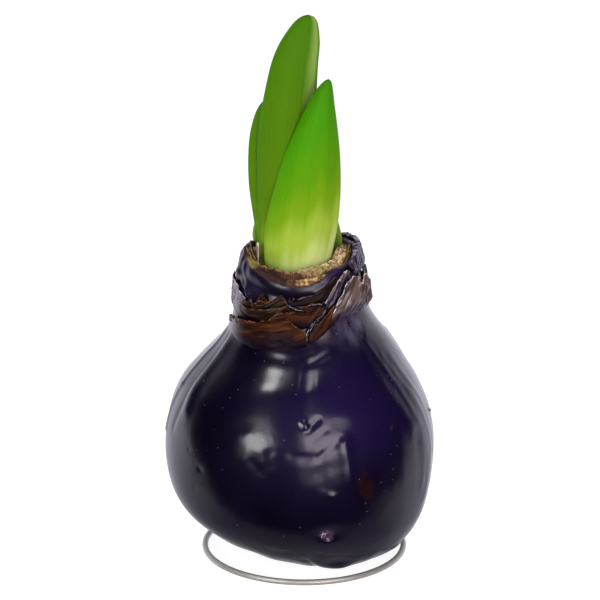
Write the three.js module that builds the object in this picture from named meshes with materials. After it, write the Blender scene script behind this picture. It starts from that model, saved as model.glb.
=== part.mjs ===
// Waxed amaryllis bulb: a forced flower bulb dipped in dark wax, standing on a wire ring, with its
// first four leaves coming up out of the cut neck. Millimetres, +Z up, the leaves' broad side to -Y.
//
// Angles round the bulb are in degrees: 0 is the front (-Y), 90 the right (+X), 180 the back (+Y).

import * as THREE from 'three';
import { mergeVertices } from 'three/addons/utils/BufferGeometryUtils.js';

// ---------------------------------------------------------------- driving dimensions

const CLEARANCE = 0.3;              // gap between pieces that touch

const WIRE_DIAMETER = 2;
const WIRE_SIDES = 8;
const RING_RADIUS = 33.6;           // centre line of the ring on the table
const ARM_ANGLE = Math.PI / 2;      // the arm runs in from the back of the ring
const FREE_END_ANGLE = 0.11;        // between the arm and the ring's free end, radians
const WIRE_BEND = 4;
const PIN_TOP = 28;                 // how far the pin reaches up into the bulb
const PIN_HOLE_RADIUS = 1.4;
const PIN_MOUTH = 5.5;              // the hole opens out round the wire's bend, as wide and as high as this

const BULB_FOOT = WIRE_DIAMETER + CLEARANCE;
const BULB_SEGMENTS = 64;
const BULB_PROFILE = [              // radius, height of the waxed skin
  [23, BULB_FOOT], [24.9, 3.3], [29.6, 6], [35.5, 11], [40.9, 18], [44.2, 27], [45.2, 38], [43.6, 50],
  [39.6, 60], [34, 68], [28.5, 75], [24.6, 81], [22, 88], [20.8, 95], [19.7, 101], [18.5, 107], [18.2, 112],
];
const SKIN_LEVELS = 36;             // rings of vertices from the foot to the rim
const RIM_TOP = 106.6;              // highest point of the cut rim
const RIM_DROPS = [5.4, 2.8, 0.3, 1.4, 1.8, 1.4, 0, 3.6];   // below that, every 45 degrees from the front
const SLANT_START = 90;             // height where the slant begins to pull on the skin

const SOCKET_RADIUS = 17.3;         // the hollow in the neck that the scales and leaves stand in
const SOCKET_FLOOR = 84;
const NECK_X = -1.5;                // the neck stands a little left of the ring's centre
const STEM_FOOT = SOCKET_FLOOR + CLEARANCE;

const LEAF_SIDES = 16;
const LEAF_RINGS = 18;
const LEAF_THICKNESS = 2.2;

const PAPER_THICKNESS = 0.8;        // one dry tunic scale
const LAYER_INNER = 0.4;            // gap from the skin to a scale that lies on it
const LAYER_OUTER = 1.95;           // the same for a scale that lies over another scale

// ---------------------------------------------------------------- small helpers

const radians = THREE.MathUtils.degToRad;
const { lerp, smoothstep, clamp } = THREE.MathUtils;

/** Smooth curve through [value, key] pairs, read at a key. */
function readCurve(pairs, key) {
  const last = pairs.length - 1;
  const k = clamp(key, pairs[0][1], pairs[last][1]);
  const i = clamp(pairs.findIndex((pair) => pair[1] >= k) - 1, 0, last - 1);
  const slope = (a, b) => (pairs[b][0] - pairs[a][0]) / (pairs[b][1] - pairs[a][1]);
  const span = pairs[i + 1][1] - pairs[i][1];
  const t = (k - pairs[i][1]) / span;
  const leaving = slope(Math.max(i - 1, 0), i + 1) * span;
  const arriving = slope(i, Math.min(i + 2, last)) * span;
  const h00 = (1 + 2 * t) * (1 - t) ** 2;
  const h10 = t * (1 - t) ** 2;
  const h01 = t * t * (3 - 2 * t);
  const h11 = t * t * (t - 1);
  return h00 * pairs[i][0] + h10 * leaving + h01 * pairs[i + 1][0] + h11 * arriving;
}

/** Value at the fraction s of a list of evenly spaced values. */
function readList(values, s) {
  const place = clamp(s, 0, 1) * (values.length - 1);
  const i = Math.min(Math.floor(place), values.length - 2);
  return lerp(values[i], values[i + 1], place - i);
}

/** Same for a list that goes all the way round and closes, read smoothly at an angle in degrees. */
function readRound(values, degrees) {
  const n = values.length;
  const place = ((((degrees / 360) % 1) + 1) % 1) * n;
  const i = Math.floor(place);
  const t = place - i;
  return lerp(values[i % n], values[(i + 1) % n], (1 - Math.cos(Math.PI * t)) / 2);
}

/** Smallest difference between two angles in degrees. */
function turn(a, b) {
  return ((((a - b + 180) % 360) + 360) % 360) - 180;
}

/** Moves every vertex of a geometry with a function, then welds the mesh shut. */
function reshape(geometry, place) {
  const positions = geometry.attributes.position;
  const uvs = geometry.attributes.uv;
  const point = new THREE.Vector3();
  for (let i = 0; i < positions.count; i += 1) {
    point.fromBufferAttribute(positions, i);
    const uv = uvs ? [uvs.getX(i), uvs.getY(i)] : [0, 0];
    positions.setXYZ(i, ...place(point, uv, i));
  }
  return weld(geometry);
}

/** Keeps only the positions and joins the vertices that coincide. */
function weld(geometry) {
  geometry.deleteAttribute('normal');
  geometry.deleteAttribute('uv');
  return mergeVertices(geometry, 1e-4);
}

// ---------------------------------------------------------------- the bulb's waxed skin

/** The bulb's centre line: its foot leans right and its shoulders lean a little left. */
function leanX(height) {
  return NECK_X + 9 * Math.exp(-((height / 11) ** 1.6)) + 1.8 * Math.exp(-(((height - 76) / 9) ** 2));
}

// Soft swellings and dents under the wax: angle, height, half width in degrees, half height, depth.
const SWELLINGS = [
  [10, 3.2, 13, 2.6, 3.2],
  [80, 13, 45, 10, 0.8],
  [12, 21, 6, 3, -0.7],
  [-18, 72, 13, 6, 0.5],
  [4, 46, 12, 6, -0.7],
  [18, 52, 9, 5, 0.5],
  [-22, 50, 16, 9, 0.4],
  [30, 40, 9, 14, 0.4],
  [-48, 38, 6, 6, -0.6],
  [70, 42, 7, 26, 0.5],
  [118, 40, 10, 22, -0.7],
  [145, 55, 14, 12, 0.6],
  [176, 34, 11, 20, -0.8],
  [205, 48, 14, 14, 0.6],
  [238, 30, 10, 16, -0.6],
  [262, 58, 12, 9, 0.5],
];

// Folds and runs of the wax: start angle and height, end angle and height, half width, depth.
const FOLDS = [
  [-71, 76, -65, 57, 2.2, 1.1],
  [-1, 80, 4, 60, 2.4, 1.1],
  [20, 53, 21, 41, 2.2, 0.7],
  [38, 80, 60, 52, 3.2, 0.5],
  [130, 78, 140, 62, 2.6, 0.9],
  [196, 80, 190, 58, 2.6, 1],
  [236, 76, 246, 60, 2.4, 0.8],
];
const WAX_DROP = [4.5, 58.5, 4, 2.8, 1];      // the drop at the end of the front run, as a swelling

/** Distance in millimetres over the skin from a point to a fold's centre line. */
function foldDistance([fromAngle, fromHeight, toAngle, toHeight], angle, height) {
  const scale = radians(1) * readCurve(BULB_PROFILE, height);
  const along = [turn(toAngle, fromAngle) * scale, toHeight - fromHeight];
  const here = [turn(angle, fromAngle) * scale, height - fromHeight];
  const share = (along[0] * here[0] + along[1] * here[1]) / (along[0] ** 2 + along[1] ** 2);
  const t = clamp(share, 0, 1);
  return Math.hypot(here[0] - t * along[0], here[1] - t * along[1]);
}

/** How far the skin stands out from the plain turned shape. */
function relief(angle, height) {
  let out = 0;
  for (const [a, h, width, tall, depth] of [...SWELLINGS, WAX_DROP]) {
    out += depth * Math.exp(-((turn(angle, a) / width) ** 2) - ((height - h) / tall) ** 2);
  }
  for (const fold of FOLDS) {
    out += fold[5] * Math.exp(-((foldDistance(fold, angle, height) / fold[4]) ** 2));
  }
  return out;
}

/** A point on the skin, or `offset` outside it. */
function skinPoint(angle, height, offset = 0) {
  const radius = readCurve(BULB_PROFILE, height) + relief(angle, height) + offset;
  return [leanX(height) + radius * Math.sin(radians(angle)), -radius * Math.cos(radians(angle)), height];
}

/** Height of the cut rim at an angle. */
function rimHeight(angle) {
  const ragged = 0.25 * Math.sin(radians(5 * angle)) + 0.2 * Math.sin(radians(9 * angle + 40));
  return RIM_TOP - readRound(RIM_DROPS, angle) + ragged;
}

/** Pulls heights above the start of the slant down to the rim. */
function slanted(angle, height) {
  const share = Math.max(0, (height - SLANT_START) / (RIM_TOP - SLANT_START));
  return height + share * (rimHeight(angle) - RIM_TOP);
}

function bulbGeometry() {
  const hole = [
    { radius: 0, height: PIN_TOP + CLEARANCE, centre: 0 },
    { radius: PIN_HOLE_RADIUS, height: PIN_TOP + CLEARANCE, centre: 0 },
    { radius: PIN_HOLE_RADIUS, height: BULB_FOOT + PIN_MOUTH, centre: 0 },
    { radius: PIN_MOUTH, height: BULB_FOOT, centre: 0 },
    { radius: BULB_PROFILE[0][0] / 2, height: BULB_FOOT, centre: leanX(BULB_FOOT) / 2 },
  ];
  const skin = [];
  for (let i = 0; i < SKIN_LEVELS; i += 1) {
    const share = i / (SKIN_LEVELS - 1);
    const height = lerp(BULB_FOOT, RIM_TOP, lerp(share, share ** 1.5, 0.5));
    skin.push({ radius: readCurve(BULB_PROFILE, height), height, onSkin: true });
  }
  const socket = [
    { radius: SOCKET_RADIUS + 0.5, height: RIM_TOP, centre: NECK_X },
    { radius: SOCKET_RADIUS, height: RIM_TOP - 0.8, centre: NECK_X },
    { radius: SOCKET_RADIUS, height: SOCKET_FLOOR, centre: NECK_X },
    { radius: 0, height: SOCKET_FLOOR, centre: NECK_X },
  ];
  const profile = [...hole, ...skin, ...socket];
  const points = profile.map(({ radius, height }) => new THREE.Vector2(radius, height));
  return reshape(new THREE.LatheGeometry(points, BULB_SEGMENTS), (point, uv, index) => {
    const { radius, height, centre, onSkin } = profile[index % profile.length];
    const angle = uv[0] * 360;
    if (onSkin) return skinPoint(angle, slanted(angle, height));
    const x = centre + radius * Math.sin(radians(angle));
    return [x, -radius * Math.cos(radians(angle)), slanted(angle, height)];
  });
}

// ---------------------------------------------------------------- cut ends of the inner scales

const CUT_SEGMENTS = 48;
const CUT_OUTER = SOCKET_RADIUS - CLEARANCE;
const CUT_HOLE = [10.9, 12.6, 14.8, 16, 14.6, 16, 15.9, 13.6];   // round the leaves, every 45 degrees
const CUT_DROP_OUTER = 0.7;         // how far the cut ends lie below the rim, at the wax and at the leaves
const CUT_DROP_INNER = 1.4;
const CUT_BUMP = 0.3;

/** Bumpy top of the cut ends; `across` is 0 at the wax and 1 at the leaves. */
function cutTop(angle, across) {
  const bumps = Math.sin(radians(11 * angle)) + Math.sin(radians(17 * angle + 70) + 4 * across);
  return rimHeight(angle) - lerp(CUT_DROP_OUTER, CUT_DROP_INNER, across) + CUT_BUMP * bumps;
}

function cutScalesGeometry() {
  const profile = [[1, 0], [0, 0], [0, 1], [0.35, 1], [0.7, 1], [1, 1], [1, 0]];   // across, up
  const points = profile.map(([across, up]) => new THREE.Vector2(2 - across, up));
  return reshape(new THREE.LatheGeometry(points, CUT_SEGMENTS), (point, uv, index) => {
    const [across, up] = profile[index % profile.length];
    const angle = uv[0] * 360;
    const radius = lerp(CUT_OUTER, readRound(CUT_HOLE, angle), across);
    const height = lerp(STEM_FOOT, cutTop(angle, across), up);
    return [NECK_X + radius * Math.sin(radians(angle)), -radius * Math.cos(radians(angle)), height];
  });
}

// ---------------------------------------------------------------- dry tunic scales on the neck

// Each lies on the skin between two torn edges, from one angle to another. The edges are heights at
// even steps. `lift` is the gap to the skin at the lower and the upper edge, `curl` what the middle of the
// upper edge stands off beyond that, and `pleats` the folds that run up the scale.
const TUNICS = {
  tunic_front_upper: {
    from: -66, to: -8, lift: [LAYER_INNER, LAYER_INNER], curl: 0.7, pleats: 2, thickness: 0.9,
    upper: [91.5, 94, 93, 96, 95, 96.8, 94.6, 93.4], lower: [87.4, 87.8, 88.3, 88.8, 89.6, 90.4, 91, 91.2],
  },
  tunic_front_lower: {
    from: -73, to: 2, lift: [LAYER_INNER, LAYER_INNER], curl: 1.8, pleats: 4,
    upper: [84.6, 86.2, 86, 86.6, 87.4, 88.4, 91.6, 87, 85.2],
    lower: [79.6, 79.5, 79.8, 80, 80.4, 80.6, 81.2, 82],
  },
  tunic_front_middle: {
    from: -6.5, to: 21, lift: [LAYER_INNER, LAYER_INNER], curl: 0.8, pleats: 2,
    upper: [94, 94.8, 96.4, 95, 94.2], lower: [87.4, 88.2, 89.4, 90.8, 91.8],
  },
  tunic_front_right: {
    from: 6, to: 33, lift: [LAYER_INNER, LAYER_INNER], curl: 0.5, pleats: 2,
    upper: [86.2, 88.2, 90.2, 93.6, 96.4], lower: [82, 83, 84.4, 86.4, 89.2],
  },
  tunic_right: {
    from: 34, to: 91, lift: [LAYER_INNER, LAYER_INNER + 0.9], curl: 0.3, pleats: 7,
    upper: [95, 98.8, 98, 101.2, 99.6, 100.4, 97.6, 98.6, 96.4], lower: [89.4, 87, 86.4, 86, 86, 86.4, 86],
  },
  tunic_left: {
    from: -137, to: -69, lift: [LAYER_INNER, LAYER_INNER], curl: 0.9, pleats: 5, thickness: 1,
    upper: [94, 97.4, 95.2, 98.4, 95.4, 97.8, 93.6, 96], lower: [86.6, 86.2, 86, 86.4, 87],
  },
  tunic_back_right: {
    from: 92, to: 168, lift: [LAYER_INNER, LAYER_INNER], curl: 0.8, pleats: 5,
    upper: [95, 98, 96.2, 99, 97, 100, 97.4, 98.6], lower: [85.8, 86, 86.2, 86, 86.6],
  },
  tunic_back_left: {
    from: 159, to: 233, lift: [LAYER_OUTER, LAYER_OUTER], curl: 0.5, pleats: 5,
    upper: [97, 99.4, 96.4, 98, 95, 97.2, 94.4, 95.6], lower: [87, 86.4, 86.6, 86, 86.8],
  },
  tunic_back_lower: {
    from: 112, to: 206, lift: [LAYER_INNER, LAYER_INNER], curl: 0.5, pleats: 6,
    upper: [83.4, 84.8, 84, 85.2, 83.6, 85, 83.4, 84.4, 82.6], lower: [79.4, 79, 79.4, 79.2, 79.8],
  },
  rim_flap_right: {
    from: 60, to: 146, lift: [LAYER_INNER, LAYER_INNER], curl: 0, pleats: 4, thickness: 0.9,
    upper: [104.8, 107, 108.6, 108, 109, 108.2, 108.4, 106.6, 105], lower: [102, 101.6, 101.6, 101.4, 101.6],
  },
};
const TUNIC_ROWS = 4;
const TUNIC_COLUMN_ANGLE = 4.5;     // degrees
const PLEAT_DEPTH = 0.2;
const PLEAT_LEAN = 0.3;             // share of a pleat that each one leans over from foot to top
const CURL_STARTS = 0.15;           // shares of the width between which the curl grows in from each end
const CURL_FULL = 0.35;

function tunicGeometry({ from, to, upper, lower, lift, curl, pleats, thickness = PAPER_THICKNESS }) {
  const columns = Math.ceil((to - from) / TUNIC_COLUMN_ANGLE);
  return reshape(new THREE.BoxGeometry(1, 1, 1, columns, TUNIC_ROWS, 1), (point) => {
    const across = point.x + 0.5;
    const up = point.y + 0.5;
    const height = lerp(readList(lower, across), readList(upper, across), up);
    const pleat = PLEAT_DEPTH * (1 - Math.cos(2 * Math.PI * (pleats * across + PLEAT_LEAN * up)));
    const middle = smoothstep(Math.min(across, 1 - across), CURL_STARTS, CURL_FULL);
    const inner = lerp(lift[0], lift[1], smoothstep(up, 0, 0.5)) + curl * middle * up ** 3;
    const offset = point.z > 0 ? inner + thickness + pleat * smoothstep(up, 0, 0.4) : inner;
    return skinPoint(lerp(from, to, across), height, offset);
  });
}

// A pale inner scale stands between the cut ends and the leaves at the left.
const INNER_SCALE = {
  from: -97, to: -60, radius: 15, narrowing: 2.2, thickness: 0.7, upper: [107, 108.6, 107.8, 106.2, 104],
};

function innerScaleGeometry() {
  const { from, to, radius, narrowing, thickness, upper } = INNER_SCALE;
  return reshape(new THREE.BoxGeometry(1, 1, 1, 8, 6, 1), (point) => {
    const across = point.x + 0.5;
    const angle = radians(lerp(from, to, across));
    const r = radius - narrowing * smoothstep(across, 0.3, 1) - (point.z > 0 ? 0 : thickness);
    const height = lerp(STEM_FOOT, readList(upper, across), point.y + 0.5);
    return [NECK_X + r * Math.sin(angle), -r * Math.cos(angle), height];
  });
}

// ---------------------------------------------------------------- leaves

// Each leaf is a strap between two edges that meet at its tip. The points are x, y, z in pairs at
// about the same height. `bulge` is how far the middle stands out to the front, at the foot and tip.
const LEAVES = {
  leaf_front: {
    bulge: [5, 5.4, 1.2],
    left: [
      [-9.5, -4.5, STEM_FOOT], [-12.4, -4, 95], [-13.2, -4, 104], [-13.2, -4.1, 111.6], [-12.2, -4.4, 118.7],
      [-9.9, -4.9, 128.3], [-6.9, -5.4, 139], [-3, -5.8, 148.5], [1.2, -6.2, 157.5], [4.2, -6.4, 162.8],
      [6.5, -6.5, 165.3], [7.9, -6.5, 165.9],
    ],
    right: [
      [5.5, -4.5, STEM_FOOT], [7.6, -4, 95], [8.8, -4, 104], [10.3, -4.1, 111.6], [11.3, -4.4, 118.7],
      [11.9, -4.9, 128.3], [11.7, -5.4, 139], [10.9, -5.8, 148.5], [9.8, -6.2, 157.5], [9.2, -6.4, 162.8],
      [8.7, -6.5, 165], [7.9, -6.5, 165.9],
    ],
  },
  leaf_tall: {
    bulge: [5.4, 4.6, 1.6],
    left: [
      [-10.5, 0.5, STEM_FOOT], [-12.8, 0.5, 95], [-13.7, 0.8, 104], [-14.5, 1.2, 115], [-15.5, 1, 129.6],
      [-15.3, 0.8, 141], [-14.4, 0.6, 151.5], [-12.6, 0.4, 161.5], [-10.7, 0.3, 169.6], [-8.2, 0.2, 175.9],
      [-4.3, 0.1, 182], [-1.4, 0, 184.8], [1.2, 0, 185.7],
    ],
    right: [
      [6.5, 0.5, STEM_FOOT], [7.6, 0.5, 95], [7.4, 0.8, 104], [6, 1.2, 115], [4.2, 1, 129.6],
      [3.7, 0.8, 141], [3.8, 0.6, 151.5], [4.1, 0.4, 161.5], [4.5, 0.3, 169.6], [5, 0.2, 175.9],
      [4.5, 0.1, 182], [3.3, 0, 184.7], [1.2, 0, 185.7],
    ],
  },
  leaf_left: {
    bulge: [2.8, 2.8, 1],
    left: [
      [-11.5, 4.6, STEM_FOOT], [-13.5, 4.5, 95], [-14.8, 4.5, 103], [-15.9, 4.6, 109.5], [-17.2, 4.7, 118],
      [-18.3, 4.8, 127], [-18.5, 4.8, 136], [-17.9, 4.9, 144], [-16.3, 4.9, 150.6], [-14.2, 5, 154.6],
      [-10.8, 5, 157.1],
    ],
    right: [
      [3, 4.6, STEM_FOOT], [4, 4.5, 95], [4, 4.5, 103], [3.4, 4.6, 109.5], [2.2, 4.7, 118],
      [0.3, 4.8, 127], [-2, 4.8, 136], [-4.6, 4.9, 144], [-6.8, 4.9, 150.6], [-8.4, 5, 154.6],
      [-10.8, 5, 157.1],
    ],
  },
  leaf_back: {
    bulge: [-4.6, -4.4, -1],
    left: [
      [-11.5, 6.8, STEM_FOOT], [-13.8, 6.2, 95], [-15.2, 6, 103], [-17.2, 6.4, 108.5], [-16, 7.2, 114.5],
      [-12.6, 8, 121], [-7, 9, 127], [-1.5, 9.6, 130],
    ],
    right: [
      [9, 6.8, STEM_FOOT], [11.6, 6.2, 95], [12.5, 6, 103], [12.4, 6.4, 108.5], [10.8, 7.2, 114.5],
      [7.4, 8, 121], [3, 9, 127], [-1.5, 9.6, 130],
    ],
  },
};

function leafGeometry({ left, right, bulge }) {
  const edge = (points) => new THREE.CatmullRomCurve3(points.map((p) => new THREE.Vector3(...p)));
  const edges = [edge(left), edge(right)];
  const sphere = new THREE.SphereGeometry(1, LEAF_SIDES, LEAF_RINGS);
  return reshape(sphere, (point, [u, v]) => {
    const up = Math.max(0, (v - 1 / LEAF_RINGS) / (1 - 1 / LEAF_RINGS));
    const around = 2 * Math.PI * u;
    const isFootCentre = v === 0;
    const across = isFootCentre ? 0 : -Math.sign(Math.cos(around)) * Math.abs(Math.cos(around)) ** 0.6;
    const half = isFootCentre ? 0 : (LEAF_THICKNESS / 2) * Math.sqrt(1 - up ** 4) * Math.sin(around);
    const [a, b] = edges.map((curve) => curve.getPoint(up));
    const forward = readList(bulge, up) * (1 - up ** 6) * (1 - across ** 2) + half;
    const middle = a.lerp(b, (1 + across) / 2);
    return [middle.x, middle.y - forward, middle.z];
  });
}

// ---------------------------------------------------------------- wire stand

/** A curve made of pieces that each get their own number of steps. */
class WirePath extends THREE.Curve {
  constructor(pieces) {
    super();
    this.pieces = pieces;
    this.steps = pieces.reduce((sum, piece) => sum + piece.steps, 0);
  }

  getPoint(t) {
    let place = clamp(t, 0, 1) * this.steps;
    for (const { curve, steps } of this.pieces) {
      if (place <= steps) return curve.getPoint(place / steps);
      place -= steps;
    }
    return this.pieces.at(-1).curve.getPoint(1);
  }

  getUtoTmapping(u) {
    return u;
  }
}

/** An arc in the plane of the ring. */
class RingArc extends THREE.Curve {
  constructor(from, to, height) {
    super();
    Object.assign(this, { from, to, height });
  }

  getPoint(t) {
    const angle = lerp(this.from, this.to, t);
    return new THREE.Vector3(RING_RADIUS * Math.cos(angle), RING_RADIUS * Math.sin(angle), this.height);
  }
}

function wireGeometry() {
  const level = WIRE_DIAMETER / 2;
  const ringEnd = ARM_ANGLE + 2 * Math.PI - WIRE_BEND / RING_RADIUS;
  const ring = new RingArc(ARM_ANGLE + FREE_END_ANGLE, ringEnd, level);
  const onArm = (distance) => new THREE.Vector3(0, distance, level);
  const onPin = (height) => new THREE.Vector3(0, 0, height);
  const armStart = onArm(RING_RADIUS - WIRE_BEND);
  const intoArm = new THREE.QuadraticBezierCurve3(ring.getPoint(1), onArm(RING_RADIUS), armStart);
  const intoPin = new THREE.QuadraticBezierCurve3(onArm(WIRE_BEND), onArm(0), onPin(level + WIRE_BEND));
  const path = new WirePath([
    { curve: ring, steps: 84 },
    { curve: intoArm, steps: 4 },
    { curve: new THREE.LineCurve3(armStart, onArm(WIRE_BEND)), steps: 2 },
    { curve: intoPin, steps: 5 },
    { curve: new THREE.LineCurve3(onPin(level + WIRE_BEND), onPin(PIN_TOP)), steps: 2 },
  ]);
  const section = new THREE.Shape();
  const corner = level / Math.cos(Math.PI / WIRE_SIDES);       // flat to flat is the wire's diameter
  for (let i = 0; i < WIRE_SIDES; i += 1) {
    const angle = ((i + 0.5) / WIRE_SIDES) * 2 * Math.PI;
    const [x, y] = [corner * Math.cos(angle), corner * Math.sin(angle)];
    if (i === 0) section.moveTo(x, y);
    else section.lineTo(x, y);
  }
  const options = { steps: path.steps, extrudePath: path, bevelEnabled: false };
  return weld(new THREE.ExtrudeGeometry(section, options));
}

// ---------------------------------------------------------------- materials

const paint = (color, roughness, metalness = 0) =>
  new THREE.MeshStandardMaterial({ color, roughness, metalness });

const steel = () => paint(0xb9b5ac, 0.3, 1);
const wax = () => paint(0x150a2c, 0.22);
const cutTissue = () => paint(0xa9824a, 0.85);
const innerScale = () => paint(0xc9b58e, 0.7);
const leafGreen = (color) => paint(color, 0.45);
const paper = (color) => paint(color, 0.55);
const LEAF_COLOURS = { leaf_front: 0x7fb53a, leaf_tall: 0x4f9a12, leaf_left: 0x47911a, leaf_back: 0x5c9a2c };
const TUNIC_COLOURS = {
  tunic_front_upper: 0x3a2415,
  tunic_front_lower: 0x7a3a12,
  tunic_front_middle: 0x4a2618,
  tunic_front_right: 0x6b3c1c,
  tunic_right: 0x7d6a70,
  tunic_left: 0x3b2e40,
  tunic_back_right: 0x4c3122,
  tunic_back_left: 0x5a3a26,
  tunic_back_lower: 0x6a3716,
  rim_flap_right: 0x251a3c,
};

// ---------------------------------------------------------------- assembly

const pieces = new THREE.Group();

function add(name, geometry, material) {
  const mesh = new THREE.Mesh(geometry, material);
  mesh.name = name;
  pieces.add(mesh);
}

add('wire_stand', wireGeometry(), steel());
add('bulb', bulbGeometry(), wax());
add('cut_scales', cutScalesGeometry(), cutTissue());
add('inner_scale_left', innerScaleGeometry(), innerScale());
for (const [name, shape] of Object.entries(TUNICS)) {
  add(name, tunicGeometry(shape), paper(TUNIC_COLOURS[name]));
}
for (const [name, shape] of Object.entries(LEAVES)) {
  add(name, leafGeometry(shape), leafGreen(LEAF_COLOURS[name]));
}

// The origin is the middle of the footprint of the whole part, on the table.
const bounds = new THREE.Box3().setFromObject(pieces);
const centre = bounds.getCenter(new THREE.Vector3());
pieces.position.set(-centre.x, -centre.y, -bounds.min.z);

const waxedBulb = new THREE.Group();
waxedBulb.add(pieces);

export default waxedBulb;
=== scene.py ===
import math

import bpy
import numpy as np
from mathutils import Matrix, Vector, noise


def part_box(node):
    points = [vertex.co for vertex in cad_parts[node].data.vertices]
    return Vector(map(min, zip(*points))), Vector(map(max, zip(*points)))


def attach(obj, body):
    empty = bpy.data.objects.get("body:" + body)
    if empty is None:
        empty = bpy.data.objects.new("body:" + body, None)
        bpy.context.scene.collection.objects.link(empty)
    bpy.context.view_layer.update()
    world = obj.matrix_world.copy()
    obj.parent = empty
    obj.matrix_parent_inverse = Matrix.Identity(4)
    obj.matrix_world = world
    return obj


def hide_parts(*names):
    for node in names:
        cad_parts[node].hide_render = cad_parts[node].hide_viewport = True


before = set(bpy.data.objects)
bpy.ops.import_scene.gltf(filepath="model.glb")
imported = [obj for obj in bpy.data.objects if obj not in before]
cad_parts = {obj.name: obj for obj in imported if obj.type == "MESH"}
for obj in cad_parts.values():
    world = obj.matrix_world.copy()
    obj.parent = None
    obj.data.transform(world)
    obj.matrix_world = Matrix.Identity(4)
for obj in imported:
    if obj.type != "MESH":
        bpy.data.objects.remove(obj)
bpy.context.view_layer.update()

# ---------------------------------------------------------------- camera, floor and light
# The stand's ring lies flat on a pale floor, and its middle is where all the sizes start from.
# Sizes are in millimetres from that middle, with the front of the bulb towards -Y.

MM = 0.001
LENS = 214.6
CAMERA_PLACE = (-1.43, -1124.0, 470.25)
CAMERA_TILT = 18.77                                             # degrees down from level
FLOOR_WIDTH = 12                                                # metres
FLOOR_GLOW = 0.90                                               # lit from below, as a light table is
LAMP_AIM = (0, 0, 60)
ring_low, ring_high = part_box("wire_stand")
MIDDLE = Vector(((ring_low[0] + ring_high[0]) / 2, (ring_low[1] + ring_high[1]) / 2, 0))


def spot(x, y, z):
    """A place in millimetres from the ring's middle, in the frame's metres."""
    return MIDDLE + Vector((x, y, z)) * MM


def add_piece(name, primitive, **sizes):
    """A new primitive, to be shaped into a piece."""
    bpy.ops.object.select_all(action="DESELECT")
    primitive(**sizes)
    piece = bpy.context.active_object
    piece.name = name
    return piece


def feed(value, socket):
    """Gives a socket another node's output, a colour or a number. None leaves it as it is."""
    if isinstance(value, bpy.types.NodeSocket):
        socket.id_data.links.new(value, socket)
    elif value is not None:
        socket.default_value = (*value, 1) if socket.type == "RGBA" else value


def feed_named(node, values):
    """Feeds a node's sockets by name, with _ for a space."""
    for name, value in values.items():
        feed(value, node.inputs[name.replace("_", " ")])


def add(tree, kind, *values, **settings):
    """A new node with its settings, whose sockets are fed in their order."""
    node = tree.nodes.new("ShaderNode" + kind)
    for setting, value in settings.items():
        setattr(node, setting, value)
    for socket, value in zip(node.inputs, values):
        feed(value, socket)
    return node


def calculate(tree, operation, *values):
    """The result of a Math node."""
    return add(tree, "Math", *values, operation=operation).outputs[0]


def remap(tree, value, from_min, from_max, to_min=0.0, to_max=1.0, **settings):
    """Maps a value from one range to another, held at both ends."""
    return add(tree, "MapRange", value, from_min, from_max, to_min, to_max, **settings).outputs["Result"]


def shade(tree, **values):
    """Feeds the sockets of the material's Principled shader."""
    feed_named(tree.nodes["Principled BSDF"], values)


def new_material(name, **values):
    """A material with values on its shader's sockets, and its node tree."""
    material = bpy.data.materials.new(name)
    material.use_nodes = True
    shade(material.node_tree, **values)
    return material, material.node_tree


camera_data = bpy.data.cameras.new("camera")
camera_data.sensor_width = 36
camera_data.lens = LENS
camera_data.clip_end = 30
camera = bpy.data.objects.new("camera", camera_data)
camera.location = spot(*CAMERA_PLACE)
camera.rotation_euler = (math.radians(90 - CAMERA_TILT), 0, 0)
bpy.context.collection.objects.link(camera)
bpy.context.scene.camera = camera
bpy.context.scene.view_settings.view_transform = "Standard"

floor = add_piece("floor", bpy.ops.mesh.primitive_plane_add, size=FLOOR_WIDTH)
floor_paint, tree = new_material(
    "floor_paint", Base_Color=(0.34, 0.34, 0.33), Roughness=0.9, Emission_Color=(1, 1, 1),
    Emission_Strength=FLOOR_GLOW)
floor.data.materials.append(floor_paint)
floor.visible_glossy = False

# The room is white behind the bulb and dark on the camera's side, so the wax shows a bright rim. It is
# dimmer near the floor and overhead.
room = bpy.context.scene.world or bpy.data.worlds.new("room")
bpy.context.scene.world = room
room.use_nodes = True
tree = room.node_tree
tree.nodes.clear()
axes = add(tree, "SeparateXYZ", add(tree, "TexCoord").outputs["Generated"]).outputs
behind = calculate(tree, "MULTIPLY_ADD", calculate(tree, "MINIMUM", axes["Z"], 0), -0.92, axes["Y"])
brightness = remap(tree, behind, 0.32, 0.53, 0.012, 1.45, interpolation_type="SMOOTHSTEP")
dim_below = remap(tree, axes["Z"], -0.75, -0.15, 0.18, 1.0)
dim_above = remap(tree, axes["Z"], -0.05, 0.45, 1.0, 0.42)
glow = calculate(tree, "MULTIPLY", brightness, calculate(tree, "MULTIPLY", dim_below, dim_above))
add(tree, "OutputWorld", add(tree, "Background", (0.90, 0.875, 1), glow).outputs[0])

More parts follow.
